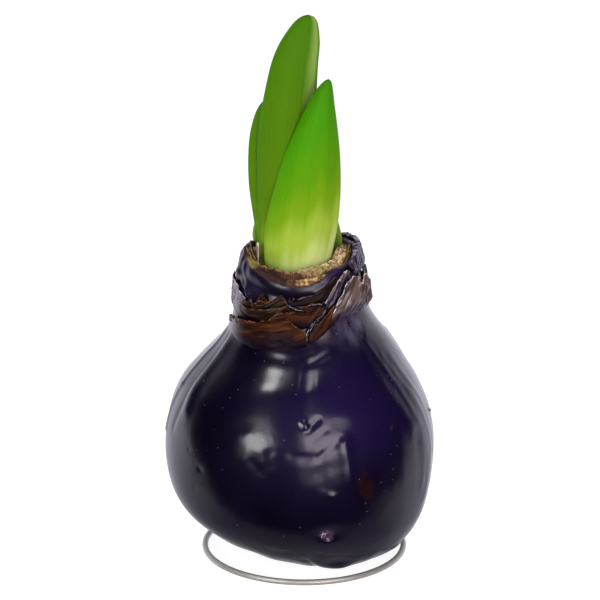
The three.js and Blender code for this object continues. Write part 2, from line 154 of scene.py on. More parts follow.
# Name, direction towards the lamp, distance and width in metres, watts, warmth. A small lamp is round.
SOFT_BOXES = [
    ("box_left_high", (-0.42, -0.28, 0.865), 1.2, 0.31, 3.6, 0),
    ("box_front_high", (0.19, -0.42, 0.89), 1.2, 0.36, 2.0, 0.6),
    ("box_left_low", (-0.57, -0.78, 0.28), 1.3, 0.56, 8.2, 0),
    ("box_right_low", (0.38, -0.90, 0.24), 1.3, 0.80, 11.5, 1),
    ("fill_top", (-0.1, -0.35, 0.93), 2.0, 1.6, 3, 0),
]
ROUND_BELOW = 0.7
for box_name, way, distance, width, watts, warmth in SOFT_BOXES:
    lamp_data = bpy.data.lights.new(box_name, "AREA")
    lamp_data.shape = "DISK" if width < ROUND_BELOW else "SQUARE"
    lamp_data.size = width
    lamp_data.energy = watts
    lamp_data.color = (1, 1 - 0.12 * warmth, 1 - 0.06 * warmth)
    lamp = bpy.data.objects.new(box_name, lamp_data)
    lamp.location = spot(*LAMP_AIM) + Vector(way).normalized() * distance
    lamp.rotation_euler = Vector(way).to_track_quat("Z", "Y").to_euler()
    lamp.visible_glossy = box_name != "fill_top"
    bpy.context.collection.objects.link(lamp)

# ---------------------------------------------------------------- wire stand
# One length of bright 2 mm steel wire. It makes a ring on the table, turns in at the back under the
# bulb, and turns up at the middle into a pin that the bulb is pushed on to.

RING_RADIUS = 33.6
WIRE_RADIUS = 1.0
WIRE_BEND = 4.0
PIN_TOP = 28.0
RING_START = math.radians(96.3)
RING_STOP = math.radians(450) - WIRE_BEND / RING_RADIUS


def bend(before, corner, after, steps):
    """Points of a bend that leaves one straight at `before` and joins the next at `after`."""
    parts = [i / steps for i in range(steps + 1)]
    return [(1 - t) ** 2 * before + 2 * t * (1 - t) * corner + t * t * after for t in parts]


def new_tube(name, kind, radius, rounding):
    """A round tube with one point on its line, and the line."""
    curve = bpy.data.curves.new(name, "CURVE")
    curve.dimensions = "3D"
    curve.bevel_depth = radius * MM
    curve.bevel_resolution = rounding
    curve.use_fill_caps = True
    curve.resolution_u = 10
    tube = bpy.data.objects.new(name, curve)
    bpy.context.collection.objects.link(tube)
    return tube, curve.splines.new(kind)


def finish_piece(piece, material, slot, *nodes_replaced, sharp_from=None):
    """Smooth faces, one material, and the piece's place in the frame. A tube becomes a mesh."""
    bpy.ops.object.select_all(action="DESELECT")
    piece.select_set(True)
    bpy.context.view_layer.objects.active = piece
    if piece.type == "CURVE":
        bpy.ops.object.convert(target="MESH")
    if sharp_from:
        bpy.ops.object.shade_smooth_by_angle(angle=math.radians(sharp_from))
    else:
        bpy.ops.object.shade_smooth()
    piece.data.materials.clear()
    piece.data.materials.append(material)
    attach(piece, "root")
    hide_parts(*nodes_replaced)


def new_group(name, inputs, outputs):
    """A node group with named sockets, and its inputs and outputs as its own nodes see them."""
    group = bpy.data.node_groups.new(name, "ShaderNodeTree")
    for side, sockets in (("INPUT", inputs), ("OUTPUT", outputs)):
        for socket, kind in sockets.items():
            group.interface.new_socket(name=socket, in_out=side, socket_type="NodeSocket" + kind)
    return group, group.nodes.new("NodeGroupInput").outputs, group.nodes.new("NodeGroupOutput").inputs


def place_group(tree, group, **values):
    """Places the group in a material, and gives its outputs."""
    placed = add(tree, "Group", node_tree=group)
    feed_named(placed, values)
    return placed.outputs


# Grain that several of the finishes share: noise stretched along each axis.
grain_group, into, out = new_group(
    "grain", {"Place": "Vector", "Stretch": "Vector", "Per Metre": "Float", "Detail": "Float"},
    {"Grain": "Float"})
stretched = add(grain_group, "VectorMath", into["Place"], into["Stretch"], operation="MULTIPLY").outputs[0]
grain_noise = add(grain_group, "TexNoise")
feed_named(grain_noise, {"Vector": stretched, "Scale": into["Per Metre"], "Detail": into["Detail"]})
feed(grain_noise.outputs["Fac"], out["Grain"])


def add_grain(tree, per_metre, detail=4.0, stretch=(1, 1, 1), place=None):
    """The shared grain on Object coordinates, or on another place."""
    place = place or add(tree, "TexCoord").outputs["Object"]
    placed = place_group(tree, grain_group, Place=place, Stretch=stretch, Per_Metre=per_metre, Detail=detail)
    return placed["Grain"]


def mix(tree, factor, first, second):
    """Mixes two colours. A Mix node's colours are its seventh and eighth sockets."""
    return add(tree, "Mix", factor, *[None] * 5, first, second, data_type="RGBA").outputs[2]


def add_bump(tree, height, distance, strength=1.0):
    """Feeds the shader's normal from a height, of which 1 stands for `distance` in metres."""
    bump = add(tree, "Bump")
    feed_named(bump, {"Height": height, "Distance": distance, "Strength": strength})
    shade(tree, Normal=bump.outputs["Normal"])


ring_turns = np.linspace(RING_START, RING_STOP, 180)
wire_path = [Vector((RING_RADIUS * math.cos(a), RING_RADIUS * math.sin(a), WIRE_RADIUS)) for a in ring_turns]
arm_start = Vector((0, RING_RADIUS - WIRE_BEND, WIRE_RADIUS))
arm_corner = Vector((0, RING_RADIUS, WIRE_RADIUS))
arm_end = Vector((0, WIRE_BEND, WIRE_RADIUS))
pin_corner = Vector((0, 0, WIRE_RADIUS))
pin_start = Vector((0, 0, WIRE_RADIUS + WIRE_BEND))
wire_path += bend(wire_path[-1], arm_corner, arm_start, 10)[1:]
wire_path += bend(arm_end, pin_corner, pin_start, 12)
wire_path.append(Vector((0, 0, PIN_TOP)))
wire_ring, wire_line = new_tube("wire_ring", "POLY", WIRE_RADIUS, 5)
wire_line.points.add(len(wire_path) - 1)
for wire_point, place in zip(wire_line.points, wire_path):
    wire_point.co = (*spot(*place), 1)

bright_wire, tree = new_material("bright_wire", Metallic=0.55)
drawn = add_grain(tree, 900, 3)
steel_colour = mix(tree, drawn, (0.36, 0.35, 0.32), (0.50, 0.49, 0.45))
shade(tree, Base_Color=steel_colour, Roughness=remap(tree, drawn, 0.3, 0.7, 0.34, 0.5))
add_bump(tree, drawn, 0.00003)
finish_piece(wire_ring, bright_wire, "steel_wire", "wire_stand", sharp_from=50)

# ---------------------------------------------------------------- waxed bulb
# The flower bulb, dipped in dark indigo wax that follows every fold of its skin. The neck is cut at
# a slant, and just under the cut the wax stops short of a strip of bare brown scale at the front.

NECK_X = -1.5
BULB_FOOT = 2.3
SOCKET_RADIUS = 17.3
SOCKET_FLOOR = 84.0
PIN_HOLE_RADIUS = 1.4
PIN_HOLE_TOP = PIN_TOP + 0.3
PIN_MOUTH = 5.5
RIM_TOP = 106.6
SLANT_START = 90.0
RIM_DROPS = np.array([5.4, 2.8, 0.3, 1.4, 1.8, 1.4, 0, 3.6])     # below RIM_TOP, every 45 degrees
BULB_PROFILE = np.array([                                       # radius, height
    (23, 2.3), (24.9, 3.3), (29.6, 6), (35.5, 11), (40.9, 18), (44.2, 27), (45.2, 38), (43.6, 50),
    (39.6, 60), (34, 68), (28.5, 75), (24.6, 81), (22, 88), (20.8, 95), (19.7, 101), (18.5, 107), (18.2, 112),
])
SKIN_SEGMENTS = 288
SKIN_ROWS = 176
WAX_CHIP = (11.6, 20.7)                                         # angle, height

# Soft swellings and dents: angle, height, half width in degrees, half height, depth.
SWELLINGS = [
    (10, 3.2, 13, 2.6, 3.2), (80, 13, 45, 10, 0.8), (12, 21, 6, 3, -0.7), (-18, 68, 17, 5, 1.0),
    (-20, 79.5, 26, 4, 0.7), (4, 68.5, 9, 5.5, 0.8), (4, 46, 12, 6, -0.3), (18, 52, 9, 5, 0.3),
    (-22, 50, 16, 9, 0.4), (30, 40, 9, 14, 0.4), (-50, 38, 9, 8, -0.3), (70, 42, 7, 26, 0.5),
    (118, 40, 10, 22, -0.7), (145, 55, 14, 12, 0.6), (176, 34, 11, 20, -0.8), (205, 48, 14, 14, 0.6),
    (238, 30, 10, 16, -0.6), (262, 58, 12, 9, 0.5),
]
# Folds and runs of the wax: a line of (angle, height) points, half width, depth.
FOLDS = [
    ([(-71, 76), (-65, 57)], 2.8, 0.7), ([(-1, 80), (4, 60)], 3.2, 0.1), ([(20, 53), (21, 41)], 2.6, 0.35),
    ([(38, 80), (60, 52)], 3.6, 0.3), ([(130, 78), (140, 62)], 2.6, 0.9), ([(196, 80), (190, 58)], 2.6, 1.0),
    ([(236, 76), (246, 60)], 2.4, 0.8),
]
# Finer marks in the wax itself, in the same form.
FINE_FOLDS = [
    ([(-5.2, 79), (-3.4, 70), (-0.9, 61)], 0.42, -0.1),
    ([(5.4, 79), (6.4, 69), (6.6, 61)], 0.4, -0.06),
    ([(-84, 103), (-88, 97), (-84, 91)], 0.8, 0.35),
    ([(-70, 103.2), (-66, 99.6), (-58, 97.2)], 0.9, 0.35),
    ([(1.3, 59.8), (3.0, 58.0)], 0.8, 0.8), ([(3.4, 57.2), (8.6, 60.4)], 0.7, -0.55),
    ([(5.4, 54.4), (12, 57.2)], 1.0, -0.2), ([(10.4, 50.2), (18.6, 54.6)], 1.1, -0.34),
    ([(-3, 49.4), (8, 48.6)], 1.4, -0.2), ([(9.4, 49), (9.8, 39)], 1.3, -0.22),
    ([(19.2, 53), (20.4, 46), (20, 39)], 2.0, 0.4), ([(13.4, 35.7), (14, 35.5)], 1.2, 0.55),
    ([(-76, 78), (-71, 69), (-69.5, 58), (-73, 48)], 1.2, -0.3),
    ([(-20, 47), (-17, 44)], 1.8, -0.25), ([(-13, 50), (-12, 46)], 1.7, -0.2),
    ([(-28, 54), (-24, 55)], 1.8, 0.15), ([(-6, 2.6), (-4.5, 8)], 1.3, -0.8),
    ([(52, 78), (60, 66), (66, 50), (64, 30)], 1.3, 0.16),
    ([(60, 74), (69, 60), (74, 42), (70, 24)], 1.2, 0.12),
    ([(69, 72), (77, 56), (80, 38)], 1.3, 0.16),
    ([(-52, 79.4), (-30, 78.9), (-8, 78.6), (6, 80)], 1.6, 0.2),
    ([(1, 75.6), (7, 76.5), (18, 78.4)], 1.2, 0.3),
    ([(-76, 98.6), (-50, 98.0), (-31, 96.6), (-16, 95.4), (0, 94.6), (16.5, 95.2), (29, 97.2), (40, 100.4)],
     1.9, -0.45),
    ([(-74, 102.4), (-50, 101.2), (-31, 99.4), (-16, 98.4), (0, 97.8), (14, 98.6), (26, 100.4)], 1.9, 0.25),
    ([(14, 97.4), (26, 99.6), (38, 102.6), (48, 104.6)], 1.0, 0.45),
    ([(22, 97.2), (34, 99.8), (46, 103)], 0.7, 0.4), ([(-84, 99.5), (-70, 97.4), (-55, 94.6)], 1.2, 0.6),
    ([(-78, 104.5), (-84, 98), (-80, 90)], 1.4, 0.9), ([(-94, 104.5), (-98, 97), (-95, 90)], 1.3, 0.8),
    ([(104, 76), (112, 58), (110, 36)], 1.2, 0.5), ([(126, 72), (131, 52), (127, 30)], 1.0, -0.5),
    ([(152, 78), (158, 62), (155, 44)], 1.1, 0.5), ([(172, 74), (176, 60)], 1.0, -0.5),
    ([(188, 76), (183, 63), (184, 57)], 0.9, 0.6), ([(214, 74), (222, 56), (220, 38)], 1.2, 0.5),
    ([(250, 72), (256, 54), (252, 36)], 1.1, -0.45), ([(270, 78), (276, 62), (274, 44)], 1.1, 0.45),
]
# Small pits and points: angle, height, half width, depth.
PITS = [
    (-47, 40, 0.9, -0.22), (-50.5, 32.5, 0.7, -0.18), (-55, 45, 0.6, -0.15), (-41, 25, 0.6, -0.12),
    (86, 50.5, 0.6, 0.8), (-83, 60.5, 0.8, 0.4), (46.9, 53.7, 1.0, -0.5), (142, 30, 0.8, -0.4),
    (201, 25, 0.9, -0.4),
]


def wrapped(angle, centre):
    """Difference between two angles in degrees, from -180 to 180."""
    return (angle - centre + 180) % 360 - 180


def smooth(value, low, high):
    """0 up to `low` and 1 from `high`, with a smooth step between them."""
    t = np.clip((value - low) / (high - low), 0, 1)
    return t * t * (3 - 2 * t)


def rough(points, size, shift=0.0):
    """Smooth noise from -1 to 1 with lumps about `size` across, at each point."""
    return np.array([noise.noise(Vector(point) / size + Vector((shift, shift, 0))) for point in points])


def sector(angle, centre, width, power=2):
    """1 at an angle, falling off over `width` degrees. A power of 4 makes its top flatter."""
    return np.exp(-((wrapped(angle, centre) / width) ** power))


def bell(angle, height, centre, level, width, tall):
    """1 at a place on the skin, falling off over `width` degrees and `tall` millimetres."""
    return np.exp(-((wrapped(angle, centre) / width) ** 2) - ((height - level) / tall) ** 2)


def profile_radius(height):
    """Radius of the plain turned shape, smoothly through the profile's points."""
    radii, heights = BULB_PROFILE[:, 0], BULB_PROFILE[:, 1]
    last = len(heights) - 1
    h = np.clip(height, heights[0], heights[-1])
    i = np.clip(np.searchsorted(heights, h, side="left") - 1, 0, last - 1)
    before, after = np.maximum(i - 1, 0), np.minimum(i + 2, last)
    span = heights[i + 1] - heights[i]
    t = (h - heights[i]) / span
    leaving = (radii[i + 1] - radii[before]) / (heights[i + 1] - heights[before]) * span
    arriving = (radii[after] - radii[i]) / (heights[after] - heights[i]) * span
    starts = (1 + 2 * t) * (1 - t) ** 2 * radii[i] + t * (1 - t) ** 2 * leaving
    return starts + t * t * (3 - 2 * t) * radii[i + 1] + t * t * (t - 1) * arriving


def lean(height):
    """The bulb's centre line: its foot leans right and its shoulders a little left."""
    return NECK_X + 9 * np.exp(-((height / 11) ** 1.6)) + 1.8 * np.exp(-(((height - 76) / 9) ** 2))


def line_distance(line, angle, height):
    """Distance over the skin, in millimetres, to a line of (angle, height) points."""
    scale = np.radians(1) * profile_radius(height)
    nearest = np.full(np.shape(angle), 1e9)
    for (a0, h0), (a1, h1) in zip(line, line[1:]):
        along_x, along_y = wrapped(a1, a0) * scale, h1 - h0
        here_x, here_y = wrapped(angle, a0) * scale, height - h0
        t = np.clip((along_x * here_x + along_y * here_y) / (along_x ** 2 + along_y ** 2), 0, 1)
        nearest = np.minimum(nearest, np.hypot(here_x - t * along_x, here_y - t * along_y))
    return nearest


def trail(line, angle, height, width):
    """1 on a line over the skin, falling off over `width` millimetres."""
    return np.exp(-((line_distance(line, angle, height) / width) ** 2))


def dot(centre, level):
    """A very short line, for a mark at one place."""
    return [(centre, level), (centre + 0.1, level)]


def relief(angle, height, fine):
    """How far the wax stands out from the plain turned shape."""
    out = np.zeros(np.shape(angle))
    for *place, depth in SWELLINGS:
        out += depth * bell(angle, height, *place)
    small_marks = FINE_FOLDS + [(dot(*place), width, depth) for *place, width, depth in PITS]
    for line, width, depth in FOLDS + (small_marks if fine else []):
        out += depth * trail(line, angle, height, width)
    return out


def round_point(angle, radius, height, centre=NECK_X):
    """Points round an upright line that stands at x = `centre`."""
    turn = np.radians(angle)
    return np.stack([centre + radius * np.sin(turn), -radius * np.cos(turn), height], axis=-1)


def skin_point(angle, height, offset, fine=False):
    """Points on the skin, or `offset` outside it."""
    radius = profile_radius(height) + relief(angle, height, fine) + offset
    return round_point(angle, radius, height, lean(height))


def angle_of(places, centre=0.0):
    """The angle of each place round an upright line: 0 at the front, and 90 at the right."""
    return np.degrees(np.arctan2(places[:, 0] - centre, -places[:, 1]))


def read_round(values, angle):
    """Smooth reading of values that go all the way round at even steps."""
    place = (angle % 360) / 360 * len(values)
    i = np.floor(place).astype(int)
    t = (1 - np.cos(np.pi * (place - i))) / 2
    return values[i % len(values)] * (1 - t) + values[(i + 1) % len(values)] * t


def read_points(points, at):
    """Height at an angle along a line of (angle, height) points."""
    angles, heights = zip(*points)
    return np.interp(at, angles, heights)


def rim_height(angle):
    """Height of the slanting, slightly ragged cut."""
    ragged = 0.25 * np.sin(np.radians(5 * angle)) + 0.2 * np.sin(np.radians(9 * angle + 40))
    return RIM_TOP - read_round(RIM_DROPS, angle) + ragged


def slanted(angle, height):
    """A height on the neck, moved down so that the neck ends at the cut."""
    share = np.maximum(0, (height - SLANT_START) / (RIM_TOP - SLANT_START))
    return height + share * (rim_height(angle) - RIM_TOP)


def vertex_places(piece):
    """The vertices of the piece's mesh, as they are."""
    places = np.empty(len(piece.data.vertices) * 3)
    piece.data.vertices.foreach_get("co", places)
    return places.reshape(-1, 3)


def set_vertices(piece, places):
    """Puts the vertices at places in millimetres from the ring's middle."""
    piece.data.vertices.foreach_set("co", (places * MM + np.array(MIDDLE)).ravel())
    piece.data.update()


def paint(piece, **numbers):
    """Numbers for each vertex, by name, for the piece's material to read."""
    for name, values in numbers.items():
        layer = piece.data.attributes.get(name) or piece.data.attributes.new(name, "FLOAT", "POINT")
        layer.data.foreach_set("value", np.asarray(values, dtype=np.float32))


def painted(tree, name):
    """The number that is painted under this name."""
    return add(tree, "Attribute", attribute_name=name).outputs["Fac"]


def skin_rows():
    """Radius, height, centre, and 1 if on the skin, from the pin hole round the outside to the socket."""
    rows = [(0, PIN_HOLE_TOP, 0, 0), (PIN_HOLE_RADIUS, PIN_HOLE_TOP, 0, 0)]
    rows += [(PIN_HOLE_RADIUS, BULB_FOOT + PIN_MOUTH, 0, 0), (PIN_MOUTH, BULB_FOOT, 0, 0)]
    for share in np.linspace(0, 1, 10)[1:-1]:
        radius = PIN_MOUTH + (BULB_PROFILE[0, 0] - PIN_MOUTH) * share
        rows.append((radius, BULB_FOOT, lean(BULB_FOOT) * share, 0))
    fine_heights = np.linspace(BULB_FOOT, RIM_TOP, 900)
    steps = np.hypot(np.diff(profile_radius(fine_heights)), np.diff(fine_heights))
    travelled = np.concatenate([[0], np.cumsum(steps)])
    for length in np.linspace(0, travelled[-1], SKIN_ROWS):
        rows.append((0, np.interp(length, travelled, fine_heights), 0, 1))
    rim = [(18.1, RIM_TOP + 0.15), (17.6, RIM_TOP + 0.1), (SOCKET_RADIUS, RIM_TOP - 0.6)]
    socket = [(SOCKET_RADIUS, 96), (SOCKET_RADIUS, SOCKET_FLOOR), (9, SOCKET_FLOOR), (0, SOCKET_FLOOR)]
    return np.array(rows + [(radius, level, NECK_X, 0) for radius, level in rim + socket])


rows = skin_rows()
skin_rings = len(rows) - 1
wax_skin = add_piece(
    "wax_skin", bpy.ops.mesh.primitive_uv_sphere_add, segments=SKIN_SEGMENTS, ring_count=skin_rings, radius=1)
ball = vertex_places(wax_skin)
row = skin_rings - np.rint(np.arccos(np.clip(ball[:, 2], -1, 1)) / np.pi * skin_rings).astype(int)
angle = angle_of(ball)
base_radius, height, centre_x, on_skin = rows[row].T
height = slanted(angle, height)
outside = skin_point(angle, height, 0, fine=True)

# Lumps: soft ones all over, a dented and a mottled place at the front, and the foot that the wax drained to.
lumps = -0.12 + 0.26 * rough(outside, 17) + 0.05 * rough(outside, 6, 3) + 0.015 * rough(outside, 2.6, 7)
lumps *= smooth(height, 3, 12)
lumps += 0.16 * bell(angle, height, 8, 49, 19, 10) * rough(outside, 4.6, 41)
lumps += 0.09 * bell(angle, height, -15, 49.5, 12, 6) * rough(outside, 2.4, 43)
lumps += 0.7 * (1 - smooth(height, 5, 14)) * rough(outside, 7, 8)

# Wrinkles: round the neck, folds up its left side, fine pleats up the bulb's right side, and the chip.
neck_share = smooth(height, 84, 90)
hoop = outside * np.array([0.22, 0.22, 1.0])                    # long round the neck, short up it
upright = outside * np.array([1.0, 1.0, 0.25])
wrinkles = neck_share * 0.14 * rough(hoop, 4.2, 11)
wrinkles += neck_share * sector(angle, -82, 34) * 0.42 * rough(upright, 3.4, 21)
right_pleats = sector(angle, 70, 22) * smooth(height, 12, 30) * (1 - smooth(height, 70, 80))
wrinkles += right_pleats * 0.08 * rough(upright * np.array([1, 1, 0.35]), 2.4, 31)
chip_distance = line_distance(dot(*WAX_CHIP), angle, height)
chip = 1 - smooth(chip_distance + 0.6 * rough(outside, 1.2, 9), 1.5, 2.6)
wrinkles += chip * (-1.3 + 0.4 * rough(outside, 0.9, 5))

# The rim stands higher at the right and behind it, where a flap of scale lies, and is torn all round.
height = height + 1.5 * smooth(height, 98, 104) * sector(angle, 103, 36, 4)
rim_grain = smooth(height - rim_height(angle), -1.6, 0) * 0.3 * rough(outside, 1.3, 17)
outside = skin_point(angle, height + rim_grain, lumps + wrinkles, fine=True)
inside = round_point(angle, base_radius, height, centre_x)
inside[:, 2] += np.where(height > 98, rim_grain, 0)
set_vertices(wax_skin, np.where(on_skin[:, None] > 0.5, outside, inside))

# The bare strip under the cut: a green edge at its left, and open crumbly flesh at the right of its top.
BARE_EDGE = [
    (-90, 106.6), (-75, 105.2), (-60, 103.7), (-45, 102.3), (-28, 100.6), (-17, 99.7), (0, 99.4), (10, 99.7),
    (18, 100.6), (25, 102), (31, 104),
]
front_angle = wrapped(angle, 0)
bare_low = read_points(BARE_EDGE, front_angle) + 0.35 * rough(outside, 2.5, 2)
bare_strip = smooth(height, bare_low - 0.15, bare_low + 0.15) * (1 - smooth(front_angle, 26, 32))
bare_inside = (height > 90) & (front_angle < 20) & (front_angle > -100)
green_edge = sector(angle, -60, 9, 4) * (1 - smooth(height - bare_low, 0.9, 1.5))
open_flesh = smooth(front_angle + 9 * rough(outside, 2.2, 14), -14, 0) * smooth(height - bare_low, 0.2, 0.9)


def patch(centre, level, width, tall, tilt=0.0):
    """1 inside a ragged soft-edged oval on the skin, 0 outside it."""
    x = wrapped(angle, centre) * np.radians(1) * profile_radius(height)
    y = height - level
    c, s = math.cos(math.radians(tilt)), math.sin(math.radians(tilt))
    reach = np.hypot((c * x + s * y) / width, (c * y - s * x) / tall) + 0.6 * rough(outside, 1.8, 13)
    return 1 - smooth(reach, 0.6, 1.15)


brown_spots = [
    0.95 * patch(28.3, 37.8, 2.6, 5.0, 20), 0.7 * patch(14, 95.6, 5.0, 1.6, 15),
    patch(46.9, 53.7, 0.8, 1.6, 20), 0.4 * patch(48.2, 66, 2.0, 2.0), patch(131, 48, 1.8, 3.2, -15),
    patch(212, 36, 1.5, 2.6, 20), 0.6 * patch(165, 62, 2.2, 1.6), 0.7 * patch(252, 44, 1.4, 2.6, 10),
]
thin_places = [
    0.22 * smooth(height, 80, 90),
    bell(angle, height, -52, 97.6, 13, 2.3),
    0.55 * bell(angle, height, -24, 95.8, 15, 1.3),
    0.8 * trail([(8, 98), (20, 99.8), (40, 103.4)], angle, height, 1.4),
    0.75 * smooth(height, 90, 96) * smooth(np.abs(front_angle), 70, 95),
]
# A whitish haze of thin wax on the right shoulder and at the back, partly a painted sheen.
haze = np.maximum(bell(angle, height, 50, 84.5, 19, 4.5), 0.7 * bell(angle, height, 190, 80, 26, 7))
# A purple glow painted where light shines through the wax, at the front right and at the back.
purple = np.maximum(bell(angle, height, 26, 62, 42, 19), 0.8 * bell(angle, height, 200, 58, 50, 20))
paint(wax_skin, bare_strip=np.where(on_skin > 0.5, bare_strip, bare_inside), green_edge=green_edge,
      open_flesh=open_flesh, thin_wax=np.maximum.reduce(thin_places), neck=smooth(height, 86, 94),
      brown_spot=np.maximum.reduce(brown_spots), haze=haze, purple=purple, chipped=chip)


def mix_numbers(tree, factor, first, second):
    """Mixes two numbers. They go in a Mix node's third and fourth sockets."""
    return add(tree, "Mix", factor, None, first, second).outputs[0]


def layered(tree, colour, *layers):
    """A colour with (mask, colour) pairs laid over it. A painted number's name can be the mask."""
    for mask, over in layers:
        if isinstance(mask, str):
            mask = painted(tree, mask)
        colour = mix(tree, mask, colour, over)
    return colour


dark_wax, tree = new_material("dark_wax", IOR=1.46)
clouds = add_grain(tree, 38, 3)
plain_wax = mix(tree, remap(tree, clouds, 0.35, 0.7), (0.0012, 0.0005, 0.0030), (0.0030, 0.0013, 0.0092))
wisps = remap(tree, add_grain(tree, 115, 4, (1, 1, 2.0)), 0.42, 0.74)
violet = mix(tree, wisps, (0.008, 0.0036, 0.016), (0.046, 0.018, 0.098))
haze_wisps = remap(tree, add_grain(tree, 260, 5, (1, 1, 0.22)), 0.36, 0.68)
haze_mask = calculate(tree, "MULTIPLY", painted(tree, "haze"), haze_wisps)
spot_colour = mix(tree, add_grain(tree, 420), (0.0030, 0.0013, 0.0022), (0.016, 0.0046, 0.0034))
chip_colour = mix(tree, add_grain(tree, 900, 3), (0.006, 0.003, 0.010), (0.10, 0.05, 0.11))
bark = remap(tree, add_grain(tree, 330, 6, (0.6, 0.6, 2.4)), 0.35, 0.75)
crumbly = mix(tree, remap(tree, add_grain(tree, 800), 0.4, 0.65), (0.10, 0.035, 0.012), (0.52, 0.36, 0.15))
bare_colour = layered(
    tree, mix(tree, bark, (0.008, 0.0020, 0.0009), (0.048, 0.012, 0.0030)),
    ("green_edge", (0.20, 0.17, 0.045)), ("open_flesh", crumbly))
bare = painted(tree, "bare_strip")
dust = add(tree, "TexVoronoi")
feed_named(dust, {"Vector": add(tree, "TexCoord").outputs["Object"], "Scale": 300})
specks = remap(tree, dust.outputs["Distance"], 0.034, 0.058, 1, 0)
# Over the wax's own colour: a painted purple glow, thin violet wax, a whitish haze that is partly painted
# sheen,
wax_colour = layered(
    # brown spots, the chip, the bare strip and dust specks.
    tree, plain_wax, ("purple", (0.0088, 0.0036, 0.0315)), ("thin_wax", violet),
    (haze_mask, (0.13, 0.11, 0.175)), ("brown_spot", spot_colour), ("chipped", chip_colour),
    (bare, bare_colour), (specks, (0.13, 0.11, 0.17)))
gloss = remap(tree, clouds, 0.3, 0.7, 0.18, 0.25)
gloss = mix_numbers(tree, painted(tree, "neck"), gloss, 0.29)
shade(tree, Base_Color=wax_colour, Roughness=mix_numbers(tree, bare, gloss, 0.9))
add_bump(tree, add_grain(tree, 260), 0.00005)
finish_piece(wax_skin, dark_wax, "dark_wax", "bulb")

# A broken crumb of paler wax sits in the chip at the front.
chip_flake = add_piece("chip_flake", bpy.ops.mesh.primitive_ico_sphere_add, subdivisions=3, radius=1)
crumb = vertex_places(chip_flake)
facets = np.array([noise.cell(Vector(point) * 1.7 + Vector((5, 5, 5))) for point in crumb])
crumb = crumb * (0.5 + 0.6 * facets[:, None]) * np.array([2.0, 0.6, 1.4])
crumb_angle, crumb_height = np.array([WAX_CHIP[0] - 1.2]), np.array([WAX_CHIP[1] - 0.3])
set_vertices(chip_flake, skin_point(crumb_angle, crumb_height, -0.9) + crumb)
broken_wax, tree = new_material("broken_wax", Roughness=0.22, IOR=1.46)
crumb_grain = remap(tree, add_grain(tree, 650, 3), 0.5, 0.66)
shade(tree, Base_Color=mix(tree, crumb_grain, (0.026, 0.014, 0.045), (0.42, 0.34, 0.46)))
add_bump(tree, add_grain(tree, 1100, 3), 0.0005)
finish_piece(chip_flake, broken_wax, "dark_wax", "bulb")
chip_flake.data.shade_flat()

# ---------------------------------------------------------------- dry tunic scales on the neck
# Brown papery scales of the bulb, torn at the top, that stand off the neck here and there. The wax has
# run over their feet and soaked into them, so they are dark and glossy at the bottom.

NECK_RADIUS = 21.5
NECK_FOOT = 84
# The pale colour of a thin wax film on a scale, which is a painted reflection.
FILM_REFLECTION_COLOUR = (0.36, 0.33, 0.36)


def ridges(u, v, long_step, short_step, seed):
    """Sharp-topped wrinkles from -1 to 1 that run along `u` and lie side by side along `v`."""
    points = np.stack([u / long_step, v / short_step, np.full_like(u, seed)], axis=-1)
    return 1 - 3 * np.abs(rough(points, 1.0))


def add_sheet(name, degrees, columns_a_degree, rows):
    """A flat sheet, and how far across and up it each vertex is, from 0 to 1."""
    columns = int(degrees * columns_a_degree)
    sheet = add_piece(
        name, bpy.ops.mesh.primitive_grid_add, x_subdivisions=columns, y_subdivisions=rows, size=2)
    flat = vertex_places(sheet)
    return sheet, (flat[:, 0] + 1) / 2, (flat[:, 1] + 1) / 2


def thicken(sheet, thickness, side):
    """Gives the sheet its thickness in millimetres, outwards for a side of 1 and inwards for -1."""
    paper = sheet.modifiers.new("paper", "SOLIDIFY")
    paper.thickness = thickness * MM
    paper.offset = side
    bpy.ops.object.modifier_apply(modifier=paper.name)


